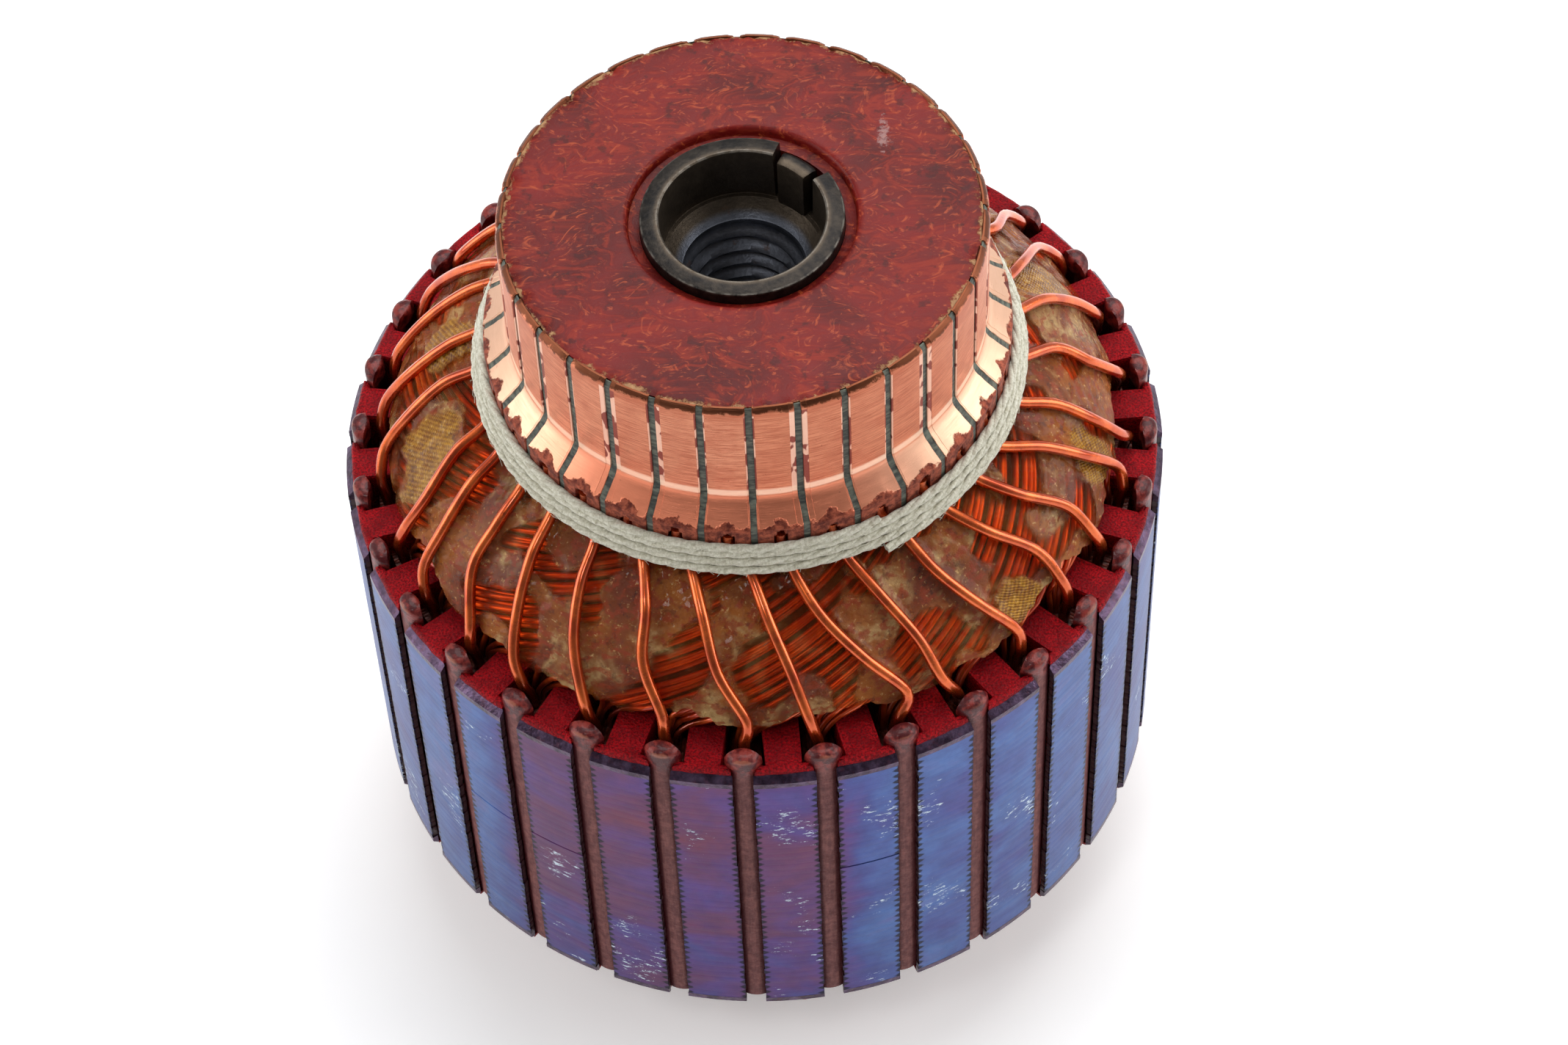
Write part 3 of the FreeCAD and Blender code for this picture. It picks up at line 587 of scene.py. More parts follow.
# the sheet of painted shade, as the piece's second material
shape.kind = 1
shape.grid([polar(ringAngle, r, z) for r, z in back], loop=True)
shape.kind = 0
for slot in range(slotCount):
    for k in range(windingSetup["perSlot"]):
        layer = k % 2
        lay = (k + 0.5) / windingSetup["perSlot"] - 0.5
        start = slot * pitch + lay * 0.045 + vary(-0.008, 0.008)
        swing = math.radians(windingSetup["span"] * vary(0.94, 1.06))
        lift = -0.18 - 0.22 * layer
        out = windingSetup["mouth"] - windingSetup["layerStep"] * layer - vary(0, 0.3)
        steer = [(start, out, 27.2), (start + 0.004, out, 28.3),
                 (start + 0.035 + lay * 0.05, out - 0.22, 29.2 + vary(-0.1, 0.1))]
        for share in np.linspace(0.03, 1.0, 9):
            r, z = crownAt(share, lift + 0.06 * wobble(slot * 0.7, share * 3, k * 0.3))
            steer.append((start + 0.06 + lay * 0.13 + swing * share ** 1.08, r, z))
        steer.append((start + swing * 1.1 + lay * 0.1, 11.55, 36.3))
        shape.grid(wire(turned(smooth(steer, 34)), windingSetup["thick"], 7))
place(shape.piece("windingTop", [windingLook, shadeSheetLook], 60), "winding_copper", "end_winding_top")
print("upper winding done")


# ---- coil sides stand a little deeper in the slots than their plain solids
# painted shade: the coil sides in the slots are coloured far darker than the winding copper, as the slots'
# shade
look = Look("packed coil side")
pack = look.cells(1.0, look.around(120.0, 0.2, 2.4))
coilLook = look.surface(
    look.mix(pack, (120, 42, 18), (26, 8, 6)), 0.42, (pack, 0.05), {"Metallic": 0.3})
coilSetup = dict(outer=19.1, inner=16.3, low=7.2, high=27.5, clearance=0.16, bevel=0.08)
coilCorners = [("outer", -1, 1), ("outer", 1, 1), ("inner", 1, -1), ("inner", -1, -1)]
shape = Shape()
for slot in range(slotCount):
    rows = []
    for z in (coilSetup["low"], 7.5, 14, 21, 27.2, coilSetup["high"]):
        trim = coilSetup["bevel"] if z in (coilSetup["low"], coilSetup["high"]) else 0.0
        loop = []
        for level, side, outwards in coilCorners:
            r = coilSetup[level]
            half = math.pi * r / slotCount - toothHalf - coilSetup["clearance"] - trim
            loop.append((slot * pitch + side * half / r, r - trim * outwards, z))
        rows.append(turned(loop))
    shape.grid(rows)
place(shape.piece("coilSidesOuter", coilLook, 30), "winding_copper", "coil_sides_outer")
dress("coil_sides_inner", coilLook)


# ---- leads from the slots to the risers, each bent by hand
leadSetup = dict(thick=0.29, overCrown=0.27, usual=(-10.4, -7.2, -4.2, -1.2), riserLag=13.975, cordLag=13.6)
# degrees from the slot's centre at the cord, high crown, low crown and slot mouth
leadBends = {
    157.5: (-5, -4, -3.5, -3), 168.75: (-11, -8, -5, -2), 180.0: (-8, -6, -4, -3),
    -168.75: (-8.5, -8, -6, -4.5), -157.5: (-5.2, -3, 0, 0.5), -146.25: (-8, -6, -4, -3),
    -135.0: (-9, -7, -6, -1.5), -123.75: (-10.5, -8.5, -6, -3.5), -112.5: (-10, -8.5, -6, -2.5),
    -101.25: (-10, -6.5, -5, -1), -90.0: (-10.5, -7, -4, 0.5), -78.75: (-9.5, -6.5, -3.5, -1.5),
    -67.5: (-12, -8.5, -2.8, 2.5), -56.25: (-11.5, -8, -4.5, -3), -45.0: (-10, -8, -4, 0),
    -33.75: (-10.5, -6.5, -1, 0), -22.5: (-11.5, -7.5, -2, -1), -11.25: (-13.5, -7, -2.5, 1),
    0.0: (-12.5, -8, -6, -4), 11.25: (-12, -6, -5, -3), 22.5: (-11, -5.5, -3, -2),
    33.75: (-13.5, -7, -1, 0)}


def leadPath(slotAngle):
    bends = leadBends.get(slotAngle)
    if bends is None:
        bends = [b + vary(-1.5, 1.5) for b in leadSetup["usual"]]
    lift = leadSetup["overCrown"] + leadSetup["thick"]
    riser = slotAngle - leadSetup["riserLag"]
    underCord = slotAngle - leadSetup["cordLag"] + (bends[0] + leadSetup["cordLag"]) * 0.25
    steer = [(riser, 12.5, 37.7), (riser, 12.5, 37.1), (underCord, 12.72, 36.45)]
    for share, bend in zip((0.88, 0.62, 0.33, 0.06), bends):
        steer.append((slotAngle + bend, *crownAt(share, lift + 0.05 * wobble(slotAngle, share * 4))))
    steer += [(slotAngle + bends[3] * 0.35, 18.72, 29.35), (slotAngle + bends[3] * 0.1, 18.6, 28.5),
              (slotAngle, 18.5, 27.6)]
    return smooth(steer, 64) * (math.radians(1), 1, 1)


look = Look("bright copper lead")
shine = look.noise(0.9)
leadTone = look.mix(look.step(shine, 0.3, 0.7), (188, 68, 24), (230, 106, 42))
leadTone = look.mix(look.step(look.z, 30.2, 28.9) * 0.75, leadTone, (84, 22, 12))
scuff = look.step(look.noise(4.0, detail=4), 0.66, 0.72)
leadLook = look.surface(
    look.mix(scuff * 0.7, leadTone, (120, 36, 16)), look.step(shine, 0.2, 0.8, 0.2, 0.32),
    (shine, 0.01), {"Metallic": 0.85, "Coat Weight": 0.7, "Coat Roughness": 0.06})
leadLines = [leadPath(180 - (180 - slot * 11.25) % 360) for slot in range(slotCount)]
shape = Shape()
for line in leadLines:
    shape.grid(wire(turned(line), leadSetup["thick"], 14))
place(shape.piece("coilLeads", leadLook, 60), "lead_copper", "coil_leads")
print("leads done")


# ---- varnished woven cloth over the crown
clothSetup = dict(columns=960, rows=60, thick=0.11, rest=0.17, ridge=0.03, ropes=92.0, ropeLean=78.0,
                  bulge=0.12, wrinkle=0.05, wrinkleWide=0.22, fillet=0.20, filletWide=0.34, flap=0.07,
                  lowestEdge=-0.07, top=1.14)
columnAngle = ringAngles(clothSetup["columns"]) - np.pi
shares = np.linspace(0, 1, clothSetup["rows"])
# how far each spot of the cloth is from a lead, for the varnish that climbs them
leadNear = np.full((clothSetup["rows"], clothSetup["columns"]), 9.0)
for i, s in enumerate(shares):
    r, z = crownAt(s, 0.25)
    for line in leadLines:
        nearest = line[np.argmin((line[:, 1] - r) ** 2 + (line[:, 2] - z) ** 2)]
        apart = np.abs((columnAngle - nearest[0] + np.pi) % (2 * np.pi) - np.pi) * r
        leadNear[i] = np.minimum(leadNear[i], apart)
outer = np.zeros((clothSetup["rows"], clothSetup["columns"], 3))
inner = np.zeros_like(outer)
for j, a in enumerate(columnAngle):
    edge = 0.03 + 0.11 * ringNoise(a, 3.2, seed=2) + 0.07 * ringNoise(a, 11.0, seed=5)
    edge = max(clothSetup["lowestEdge"], edge + 0.03 * ringNoise(a, 40.0, seed=8))
    for i, s in enumerate(shares):
        share = between(edge, clothSetup["top"], s)
        fade = min(1, s * 6) * min(1, (1 - s) * 8)
        rope = math.sin(a * clothSetup["ropes"] - share * clothSetup["ropeLean"])
        ridge = clothSetup["ridge"] * rope * (0.35 + max(0, ringNoise(a, 4.0, share * 2, 11)) * 2.4)
        bulge = clothSetup["bulge"] * ringNoise(a, 6.0, share * 2.5, 21)
        crease = abs(ringNoise(a + share * 0.25, 9.0, share * 3.5, 31)) / clothSetup["wrinkleWide"]
        wrinkle = -clothSetup["wrinkle"] * max(0, 1 - crease)
        fold = (a * 0.8 + 0.5 * ringNoise(a, 3.0, share * 1.4, 61) + share * 0.35) % 1.0
        climb = clothSetup["fillet"] * math.exp(-(leadNear[i, j] / clothSetup["filletWide"]) ** 2)
        lift = (ridge + bulge + wrinkle + clothSetup["flap"] * fold + climb) * fade
        lift = max(0.0, clothSetup["rest"] + lift + 0.02 * ringNoise(a, 60.0, share * 30, 41))
        outer[i, j] = (a, *crownAt(share, lift))
        inner[i, j] = (a, *crownAt(share, lift - clothSetup["thick"]))

look = Look("varnished cloth")
mood = look.noise(0.30, detail=2, rough=0.5)
mood2 = look.noise(0.42, look.vector(look.x + 40, look.y, look.z), twist=0.6)


# soft patch round a spot on the crown, given in degrees and height
def clothPatch(degrees, height, wide, tall):
    off = look.node("Math", {"operation": "WRAP"}, {
        0: look.angle - math.radians(degrees), 1: math.pi, 2: -math.pi}) * (15.5 / wide)
    rise = (look.z - height) * (1 / tall)
    return look.step(look.math("SQRT", off * off + rise * rise) + (mood2 - 0.5) * 1.2, 1.05, 0.8)


goldSpots = [(-166, 32.5, 1.9, 1.7), (172, 33.5, 1.5, 1.4), (-12, 31.6, 1.6, 1.4), (24, 33.0, 1.6, 1.5),
             (-42, 31.0, 1.3, 1.1), (70, 32.5, 2.0, 1.6), (118, 32.0, 1.6, 1.6)]
woven = clothPatch(*goldSpots[0])
for spotAt in goldSpots[1:]:
    woven = look.math("MAXIMUM", woven, clothPatch(*spotAt))
sway = look.noise(0.8, detail=2) * 5.0
warp = look.math("SINE", look.angle * 380.0 + look.z * 12.0 + sway)
weft = look.math("SINE", look.z * 24.0 - look.radius * 16.0 + look.angle * 60.0 + sway)
weave = warp * weft
streakNoise = look.noise(1.6, look.vector(look.angle * 20.0, look.z * 0.8, look.radius * 0.8), detail=4)
amber = look.mix(look.step(mood, 0.35, 0.65), (164, 92, 26), (108, 42, 8))
beige = look.mix(look.step(mood2, 0.33, 0.50), (190, 154, 98), amber)
goldShare = look.step(weave, -0.8, 0.8) * 0.55 + look.step(streakNoise, 0.35, 0.7) * 0.45
golden = look.mix(goldShare, (120, 66, 12), (206, 152, 48))
slanted = look.vector(look.angle * 22.0 - look.z * 1.2, look.z * 3.0 + look.angle * 6.0)
streaks = look.noise(1.0, slanted)
clothTone = look.mix(woven, look.mix(look.step(streaks, 0.50, 0.60) * 0.75, beige, (150, 52, 20)), golden)
speckle = look.noise(4.2, look.vector(look.angle * 15.0, look.radius, look.z), detail=5, rough=0.75)
clothTone = look.mix(look.step(speckle, 0.47, 0.60) * 0.35, clothTone, (124, 58, 14))
clothTone = look.mix(look.step(speckle, 0.42, 0.32) * 0.6, clothTone, (240, 200, 128))
grime = look.step(look.noise(2.2, detail=5, rough=0.7), 0.54, 0.66)
dust = look.step(look.noise(5.0, detail=5, rough=0.8), 0.68, 0.74) * look.step(mood2, 0.5, 0.62)
clothColour = look.mix(dust * 0.5, look.mix(grime * 0.5, clothTone, (70, 26, 6)), (206, 206, 198))
solidCloth = look.node("BsdfPrincipled", {}, {
    "Base Color": clothColour, "Roughness": look.step(mood2, 0.3, 0.7, 0.10, 0.22),
    "Specular IOR Level": 0.28, "Coat Weight": 0.22, "Coat Roughness": 0.05,
    "Normal": look.bump(weave * 0.35 * woven + look.noise(1.8) * 0.9
                        + speckle * 0.8, 0.13)})
clearCloth = look.node("BsdfTransparent", {}, {"Color": (1.0, 0.76, 0.48, 1)})
film = look.noise(0.36, look.vector(look.x, look.y + 30, look.z), detail=1, rough=0.4, twist=0.3)
lowEdge = look.step(look.z, 31.4, 30.3) * -0.03
clear = (look.step(film + lowEdge + (streaks - 0.5) * 0.10, 0.47, 0.55) * 0.72 + 0.14) * (1 - woven * 0.9)
clothLook = look.close(look.node("MixShader", {}, {0: clear, 1: solidCloth, 2: clearCloth}))
shape = Shape()
shape.grid(turned(np.concatenate([outer, inner[::-1]])), loop=True)
cloth = shape.piece("clothCover", clothLook, 70)
place(cloth, "cloth", "cloth_cover")
print("cloth done")


# ---- pale twisted cord bound over the leads
cordSetup = dict(turns=4, perTurn=240, radii=(13.40, 12.96), heights=(35.78, 37.14), thick=0.235, twist=0.32,
                 plies=3, loose=0.26, looseTurns=0.055, start=-60.0, hairs=700)
look = Look("pale cotton cord")
lay = look.noise(3.0, look.around(30.0, 2.0))
fuzz = look.noise(9.0, detail=4, rough=0.7)
cordShade = look.step(fuzz * 0.6 + lay * 0.5, 0.35, 0.75)
cordLook = look.surface(
    look.mix(cordShade, (180, 174, 150), (230, 227, 210)), 0.85, (fuzz + lay, 0.04),
    {"Sheen Weight": 0.4})
cordLine = []
for k in range(cordSetup["turns"] * cordSetup["perTurn"] + 1):
    rise = k / cordSetup["perTurn"]
    a = math.radians(cordSetup["start"]) + rise * 2 * math.pi
    level = min(1.0, max(0.0, (rise - 0.5) / (cordSetup["turns"] - 1)))
    # the lower end leaves the band and is tucked in
    loose = cordSetup["loose"] * max(0.0, 1 - rise / cordSetup["looseTurns"]) ** 1.5
    r = between(*cordSetup["radii"], level)
    z = between(*cordSetup["heights"], level)
    cordLine.append((a, r + loose * 0.8 + 0.03 * ringNoise(a, 5.0, rise, 6),
                     z + 0.05 * ringNoise(a, 3.0, rise, 3) - loose))
middle = turned(cordLine)
side, out = across(middle)
travelled = np.cumsum(np.linalg.norm(np.gradient(middle, axis=0), axis=1))
shape = Shape()
for ply in range(cordSetup["plies"]):
    turn = (travelled * cordSetup["twist"] + ply / cordSetup["plies"])[:, None] * 2 * math.pi
    strand = middle + (np.cos(turn) * side + np.sin(turn) * out) * cordSetup["thick"] * 0.42
    shape.grid(wire(strand, cordSetup["thick"] * 0.62, 7))
for _ in range(cordSetup["hairs"]):
    a, r, z = cordLine[random.randrange(len(cordLine) - 1)]
    push = vary(0.14, 0.2)
    bend = vary(-0.02, 0.02)
    hairLine = [(a, r + push, z + vary(-0.15, 0.15)),
                (a + bend, r + push + vary(0.02, 0.1), z + vary(-0.2, 0.2)),
                (a + bend * 2.4, r + push + vary(0.0, 0.12), z + vary(-0.3, 0.25))]
    shape.grid(wire(turned(smooth(hairLine, 5)), 0.012, 3))
place(shape.piece("bindingCord", cordLook, 60), "cord", "binding_cord")
print("cord done")


# ---- commutator bars
barSetup = dict(firstMiddle=-2.725, micaHalf=0.165, bevelDepth=0.06, faceBevel=0.022, wideBevel=0.27,
                fineBevel=0.08, notchHalf=0.34, notchTop=38.05, notchRadius=11.95, riser=12.85, face=11.65,
                low=36.6, top=45.935)
barProfile = [(12.79, 36.62)]
barProfile += [(barSetup["riser"], z) for z in (36.68, 36.9, 37.15, 37.4, 37.6, 37.75, 37.9, 38.05, 38.2)]
barProfile += [(12.83, 38.3), (12.6, 38.5), (12.3, 38.75), (12.05, 39.0), (11.86, 39.15), (11.74, 39.32),
               (11.67, 39.48)]
barProfile += [(barSetup["face"], z) for z in (39.62, 40.6, 42.0, 43.4, 44.8, 45.4)]
barProfile += [(11.645, 45.6), (11.63, 45.72), (11.56, 45.83), (11.42, 45.93), (11.33, barSetup["top"]),
               (11.1, 45.6), (9.6, 45.0), (9.2, 37.0), (11.0, 36.62)]
look = Look("commutator copper")
brush = look.noise(2.2, look.around(3.0, 6.5), detail=4, rough=0.72)
fineTurn = look.noise(1.4, look.around(2.0, 34.0), rough=0.6)
blotch = look.noise(0.75, detail=4, rough=0.6)
barTone = look.mix(look.step(look.island(), 0.0, 1.0), (224, 150, 116), (236, 166, 132))
worn = look.mix(look.step(blotch, 0.35, 0.75) * 0.45, barTone, (190, 104, 78))
worn = look.mix(look.step(brush, 0.38, 0.64) * 0.7, worn, (172, 92, 68))
rimBand = look.step(look.z + look.noise(1.5, look.around(3.0, 0.0)) * 0.8, 45.3, 46.1)
rimDark = look.step(look.z + look.noise(1.8, detail=5, rough=0.7) * 0.9, 46.12, 46.22)
# painted highlight: a near-white band where the face bends into the flared foot
faceFootHighlight = look.step(look.z, 40.05, 39.85) * look.step(look.z, 39.5, 39.62)
# painted reflection: the flared foot of the bars is painted pale cream at the sides, turning salmon towards
# the front, near -96 degrees
flare = look.step(look.z, 39.55, 39.4)
flareFrontShade = look.step(look.math("COSINE", look.angle + math.radians(96)), 0.55, 0.95)
fromFirst = look.angle - math.radians(barSetup["firstMiddle"])
acrossBar = (look.math("FRACT", fromFirst * (1 / pitch) + 0.5) - 0.5) * 2.45
# painted highlight: the bevelled facets along the bar edges are painted pale, broken into lengths by darker
# copper patches
bevelHighlight = look.step(look.radius, 11.637, 11.63) * look.step(look.z, 39.7, 39.85)
bevelHighlight = bevelHighlight * look.step(look.z, 45.6, 45.5)
breaks = look.noise(1.6, look.vector(look.angle * 8.0, look.z * 0.4), detail=2)
breaks = look.step(breaks, 0.50, 0.53)
faceTone = look.mix(rimBand * 0.5, worn, (176, 92, 64))
# the painted highlight on the bevels
faceTone = look.mix(bevelHighlight, faceTone, look.mix(breaks * 0.9, (246, 200, 176), (132, 44, 40)))
# the painted highlight band at the face's foot
faceTone = look.mix(faceFootHighlight * 0.8, faceTone, (255, 226, 200))
# the painted reflection on the flared foot
faceTone = look.mix(flare * 0.9, faceTone, look.mix(flareFrontShade, (232, 188, 158), (240, 144, 110)))
faceTone = look.mix(rimDark * 0.9, faceTone, (92, 52, 34))
overNotch = look.math("POWER", 2.718, acrossBar * acrossBar * -5.0) * 0.25
raggedLine = look.noise(1.5, look.around(12.8, 1.6), detail=4, rough=0.6) * 0.8
rough = look.step(look.z - overNotch - raggedLine, 37.98, 37.90)
soot = look.noise(2.6, detail=5, rough=0.7)
rootTone = look.mix(look.step(soot, 0.35, 0.68), (92, 34, 24), (176, 92, 66))
pit = look.step(look.noise(3.4, detail=5, rough=0.72), 0.66, 0.72) * 0.6
barLook = look.surface(
    look.mix(pit, look.mix(rough, faceTone, rootTone), (116, 44, 30)),
    0.3 + brush * 0.14 + rough * 0.16, (fineTurn * 0.6 + brush * 0.4 + rough * soot * 3.5, 0.02),
    {"Metallic": 1 - rough * 0.35})
bevelChoices = [("wideBevel", "fineBevel")] * 3 + [("fineBevel", "wideBevel")] * 2
bevelChoices += [("fineBevel", "fineBevel")]
shape = Shape()
for k in range(slotCount):
    middle = math.radians(barSetup["firstMiddle"]) + k * pitch
    seed = k * 3.7
    # two draws for each bar, of which the first sets how far its notch is ragged
    notchShare, _ = vary(0.75, 1.15), vary(0.75, 1.15)
    notchRise = notchShare * (barSetup["notchTop"] - barSetup["low"])
    leftBevel, rightBevel = random.choice(bevelChoices)
    leftEdge, rightEdge = -1 + barSetup[leftBevel], 1 - barSetup[rightBevel]
    stations = [-1.0, -0.98, leftEdge - 0.01, leftEdge, -0.62, -0.46, -0.37, -0.34, -0.2, 0, 0.2, 0.34, 0.37,
                0.46, 0.62, rightEdge, rightEdge + 0.01, 0.98, 1.0]
    rows = []
    for u in stations:
        ring = []
        for r, z in barProfile:
            outside = r > 11.3
            t = u * (r * math.sin(pitch / 2) - barSetup["micaHalf"])
            if abs(u) < 0.5 and z < 38.6 and r > 12:
                t = u
            if outside and (u < leftEdge or u > rightEdge) and z > 38.4:
                r -= barSetup["faceBevel"] if abs(u) < 0.99 else barSetup["bevelDepth"]
            elif outside and abs(u) == 1.0:
                r -= barSetup["bevelDepth"]
            if outside and r > 12.5 and z < 38.2:
                mouth = barSetup["notchHalf"] * (1 + 0.25 * wobble(z * 4, seed))
                roof = barSetup["low"] + notchRise * math.sqrt(max(0.0, 1 - (t / (mouth * 1.02)) ** 2))
                if abs(t) < mouth and z < roof:
                    r = barSetup["notchRadius"]
                else:
                    r += 0.05 * wobble(z * 3, t * 3, seed) - 0.05
            elif outside and z < 39.0:
                r += 0.03 * wobble(z * 2, t * 2, seed) - 0.02
            if z > 45.5 and outside and abs(u) > 0.9:
                z -= 0.05 + 0.03 * wobble(seed, u)
            ring.append((middle + math.asin(max(-0.99, min(0.99, t / r))), r, min(z, barSetup["top"])))
        rows.append(turned(ring))
    shape.grid(rows)
place(shape.piece("commutatorBars", barLook, 28), "bar_copper", "commutator_bars")

look = Look("mica")
flakes = look.noise(2.0, look.around(10.0, 3.0, 2.0), detail=4)
micaLook = look.surface(
    look.mix(look.step(flakes, 0.35, 0.7), (48, 52, 48), (108, 112, 98)), 0.55 + flakes * 0.2,
    (flakes, 0.03))
dress("mica_segments", micaLook)
print("commutator done")


# ---- moulded hub with a chipped rim
hubSetup = dict(columns=256, bore=4.87, flat=45.93, low=36.7, chipOut=0.25, chipDown=0.35)
look = Look("fibre filled moulding")
drift = look.noise(0.22, detail=2, twist=0.4)
flow = look.vector(look.x * 0.55 + drift * 4.0, look.y * 1.0, look.z)
swirl = look.noise(0.7, flow, detail=6, rough=0.6, twist=3.0)
fineFlow = look.vector(look.x * 0.6, look.y * 1.1 + drift * 4.0, look.z)
thread = look.noise(1.2, fineFlow, detail=6, rough=0.62, twist=3.2)
baseTone = look.mix(look.step(drift, 0.35, 0.65), (84, 12, 10), (118, 22, 18))
flecked = look.mix(look.step(swirl, 0.46, 0.66) * 0.6, baseTone, (148, 48, 30))
flecked = look.mix(look.step(thread, 0.55, 0.68) * 0.7, flecked, (178, 78, 42))
darkSpots = look.mix(look.step(look.noise(1.4, detail=4), 0.58, 0.68) * 0.6, flecked, (58, 12, 14))
rimWear = look.step(look.radius + look.noise(1.3, detail=5, rough=0.75) * 2.0, 12.14, 12.4)
rimTone = look.mix(look.noise(3.0, detail=4), (96, 58, 34), (214, 168, 118))
hubColour = look.mix(rimWear * 0.9, darkSpots, rimTone)
scratchX, scratchY = (look.x - 6.6) * 2.4, (look.y - 5.0) * 0.8
scratch = look.step(look.math("SQRT", scratchX * scratchX + scratchY * scratchY)
                    + look.noise(2.6, detail=5, rough=0.8) * 3.4, 2.5, 2.0)
hubColour = look.mix(scratch * 0.5, hubColour, (176, 150, 146))
hubLook = look.surface(
    hubColour, look.step(swirl, 0.3, 0.7, 0.34, 0.46),
    (swirl * 0.6 + look.noise(6.0) * 0.4 + rimWear * 0.8, 0.035), {"Specular IOR Level": 0.17})
hubProfile = [(hubSetup["bore"], hubSetup["low"]), (hubSetup["bore"], 45.3), (5.15, 45.33), (5.38, 45.42),
              (5.43, 45.7), (5.5, 45.86), (5.62, 45.92)]
hubProfile += [(r, hubSetup["flat"]) for r in (5.8, 7.0, 8.5, 9.8, 10.5, 10.9)]
hubProfile += [(11.15, 45.92), (11.32, 45.88), (11.34, 45.6), (11.2, 45.4), (9.5, 45.2), (8.5, 44.0),
               (8.5, 37.4), (8.5, hubSetup["low"])]
hubRows = []
for r, z in hubProfile:
    ring = []
    for a in ringAngles(hubSetup["columns"]):
        chip = max(0, ringNoise(a, 24.0, seed=3) - 0.12) if r > 11.1 and z > 45.5 else 0
        sink = min(0, 0.006 * ringNoise(a, r, seed=9)) if z > 45.8 else 0
        ring.append((a, r - chip * hubSetup["chipOut"], z - chip * hubSetup["chipDown"] + sink))
    hubRows.append(ring)
shape = Shape()
shape.grid(turned(hubRows), loop=True)
place(shape.piece("commutatorHub", hubLook, 50), "moulding", "commutator_hub")


# ---- black steel sleeve: thread, counterbore, two cuts and a staked tongue
sleeveSetup = dict(columns=288, rim=45.94, gap=(34.5, 69.5), gapFloor=42.96, threadPitch=1.0,
                   threadRadii=(3.0, 2.5), threadFoot=0.6, threadTop=42.1, threadRows=332)
tongueSetup = dict(limits=(41.5, 65.5), columns=13, outer=4.60, inner=3.68, foot=42.8, top=45.74, bevel=0.05)
look = Look("blacked steel")
steelSpots = look.noise(1.6, detail=5, rough=0.65)
lip = look.step(look.math("ABSOLUTE", look.radius - 3.97), 0.16, 0.04) + look.step(look.radius, 4.72, 4.8)
edgeWear = look.step(look.z, 45.8, 45.9) * lip * look.step(look.noise(2.0, detail=4), 0.35, 0.6) * 0.7
rustSpot = look.step(look.noise(1.1, detail=5, rough=0.7), 0.62, 0.72)
rustSpot = rustSpot * look.step(look.radius, 4.4, 3.6) * 0.6
blackTone = look.mix(look.step(steelSpots, 0.3, 0.75), (22, 20, 20), (56, 50, 44))
counterbore = look.mix(steelSpots, (48, 40, 34), (96, 84, 70))
blackTone = look.mix(look.step(look.radius, 4.3, 4.0), blackTone, counterbore)
threadTone = look.mix(steelSpots, (66, 68, 76), (120, 124, 134))
blackTone = look.mix(look.step(look.radius, 3.4, 3.1), blackTone, threadTone)
steelLook = look.surface(
    look.mix(rustSpot, look.mix(edgeWear, blackTone, (112, 106, 98)), (84, 48, 24)),
    0.3 + steelSpots * 0.22, (look.noise(5.0, detail=4), 0.02), {"Metallic": 0.8 - rustSpot * 0.6})
rim = sleeveSetup["rim"]
sleeveProfile = [(3.0, 0.0), (5.35, 0.0), (5.5, 0.15), (5.5, 20.0), (5.5, 36.6), (4.85, 36.62), (4.85, 42.9),
                 (4.85, rim - 0.12), (4.82, rim - 0.04), (4.74, rim), (4.02, rim), (3.95, rim - 0.05),
                 (3.93, rim - 0.14), (3.93, 42.98), (3.9, 42.94), (3.72, 42.94), (3.68, 42.9), (3.05, 42.14),
                 (2.98, sleeveSetup["threadTop"])]
sleeveAngle = ringAngles(sleeveSetup["columns"])
gapStart, gapEnd = sleeveSetup["gap"]
inGap = (np.degrees(sleeveAngle) > gapStart) & (np.degrees(sleeveAngle) < gapEnd)
sleeveRows = []
for r, z in sleeveProfile:
    cutDown = inGap & (z > 43) & (r > 3.9)
    sleeveRows.append(polar(sleeveAngle, r, np.where(cutDown, sleeveSetup["gapFloor"], z)))
for k in range(sleeveSetup["threadRows"] + 1):
    left = sleeveSetup["threadRows"] - k
    z = between(sleeveSetup["threadFoot"], sleeveSetup["threadTop"], left / sleeveSetup["threadRows"])
    phase = (z / sleeveSetup["threadPitch"] - sleeveAngle / (2 * math.pi)) % 1.0
    tooth = np.clip((abs(phase - 0.5) * 2 - 0.12) / 0.72, 0, 1) * min(1.0, k / 10, left / 8)
    sleeveRows.append(polar(sleeveAngle, between(*sleeveSetup["threadRadii"], tooth), z))
shape = Shape()
shape.grid(sleeveRows, loop=True)
tongueRows = []
foot, top, bevel = tongueSetup["foot"], tongueSetup["top"], tongueSetup["bevel"]
for k, a in enumerate(np.radians(np.linspace(*tongueSetup["limits"], tongueSetup["columns"]))):
    trim = bevel if k in (0, tongueSetup["columns"] - 1) else 0
    outer, inner = tongueSetup["outer"] - trim, tongueSetup["inner"] + trim
    loop = [(outer, foot), (outer, top - 0.14), (outer - 0.09, top - 0.04 - trim),
            (outer + trim - 0.25, top - trim), (inner - trim + 0.17, top - trim),
            (inner + 0.05, top - 0.04 - trim), (inner, top - 0.16), (inner, foot)]
    tongueRows.append([polar(a, r, z) for r, z in loop])
shape.grid(tongueRows)
place(shape.piece("shaftSleeve", steelLook, 35), "black_steel", "shaft_sleeve")
print("sleeve done")


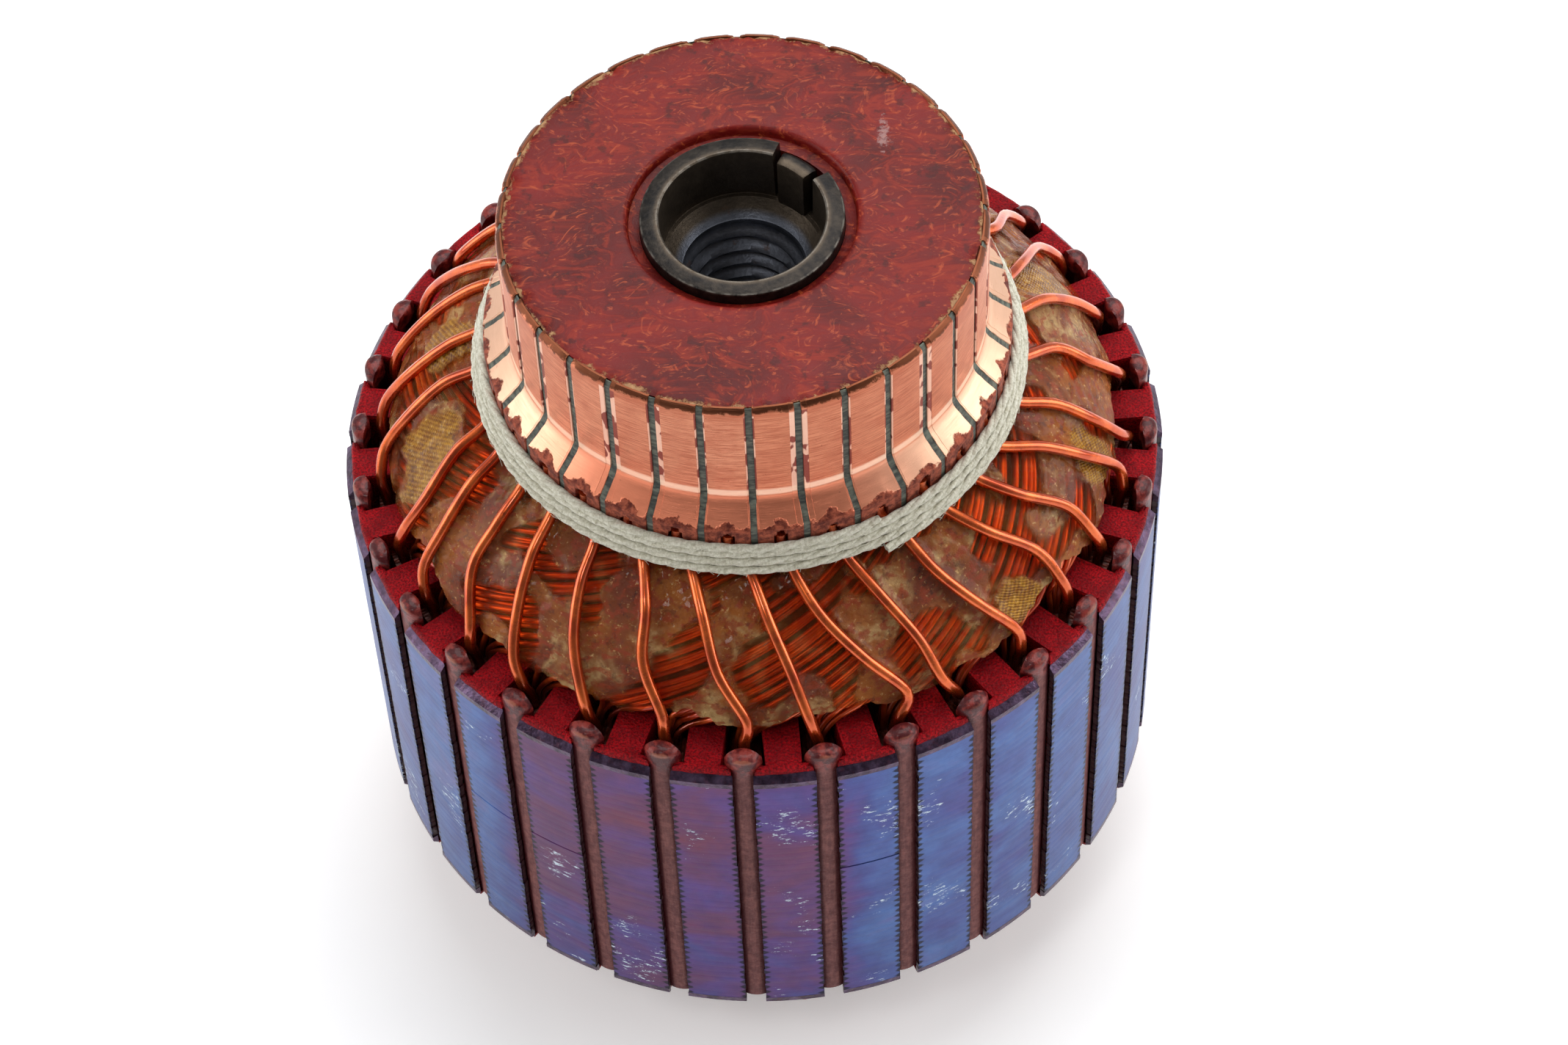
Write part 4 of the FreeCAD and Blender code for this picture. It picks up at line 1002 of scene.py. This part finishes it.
# ---- lower coil ends, bare under varnish
lowerSetup = dict(perSlot=8, thick=0.2, span=64.0, inner=7.36, high=6.98)
lowProfile = [(lowerSetup["inner"], lowerSetup["high"]), (lowerSetup["inner"], 1.7), (8.4, 1.35),
              (12.0, 1.3), (14.4, 1.45), (16.2, 2.6), (17.2, 4.4), (17.5, lowerSetup["high"])]
lowCurve = [(18.5, 7.8), (18.45, 6.6), (18.05, 5.2), (17.3, 3.6), (16.0, 1.9), (14.2, 1.15), (12.2, 1.12),
            (10.0, 1.12), (8.3, 1.5), (7.75, 2.6)]
shape = Shape()
shape.grid([polar(ringAngle, r, z) for r, z in lowProfile], loop=True)
for slot in range(slotCount):
    for k in range(lowerSetup["perSlot"]):
        layer = k % 2
        lay = (k + 0.5) / lowerSetup["perSlot"] - 0.5
        steer = []
        for i, (r, z) in enumerate(lowCurve):
            share = max(0, i - 1) / 8
            sink = 0.24 * layer + 0.05 * wobble(slot, share * 3, k * 0.7)
            turn = lay * (0.05 + 0.12 * min(1, share * 6)) - math.radians(lowerSetup["span"]) * share ** 0.9
            r -= sink * (1 if i < 6 else 0.2)
            steer.append((slot * pitch + turn, r, z + (sink if i > 3 else 0)))
        shape.grid(wire(turned(smooth(steer, 34)), lowerSetup["thick"], 6))
# painted shade: these wires share windingLook and lie below z 28.4, so they take its dark tone all over
place(shape.piece("windingFoot", windingLook, 60), "winding_copper", "end_winding_bottom")


# ---- carried-over pieces
look = Look("insulating board")
boardFibre = look.noise(2.0, look.around(6.0, 1.2), detail=4)
boardLook = look.surface(
    look.mix(look.step(boardFibre, 0.3, 0.7), (96, 62, 36), (150, 104, 60)),
    0.4 + boardFibre * 0.2, (boardFibre, 0.03))
for name in ("neck_insulator", "end_collar", "slot_separators"):
    dress(name, boardLook)
look = Look("ring steel")
ringGrain = look.noise(2.0, detail=4)
ringLook = look.surface(
    look.mix(ringGrain, (110, 108, 106), (160, 158, 154)), 0.3 + ringGrain * 0.2,
    more={"Metallic": 1.0})
for name in ("hub_ring_front", "hub_ring_rear"):
    dress(name, ringLook)
look = Look("fused joint")
blob = look.noise(2.5, detail=4)
jointLook = look.surface(
    look.mix(look.step(blob, 0.35, 0.7), (120, 50, 30), (206, 124, 86)), 0.35 + blob * 0.25,
    (blob, 0.06), {"Metallic": 0.7})
dress("riser_joints", jointLook)
print("materials done")
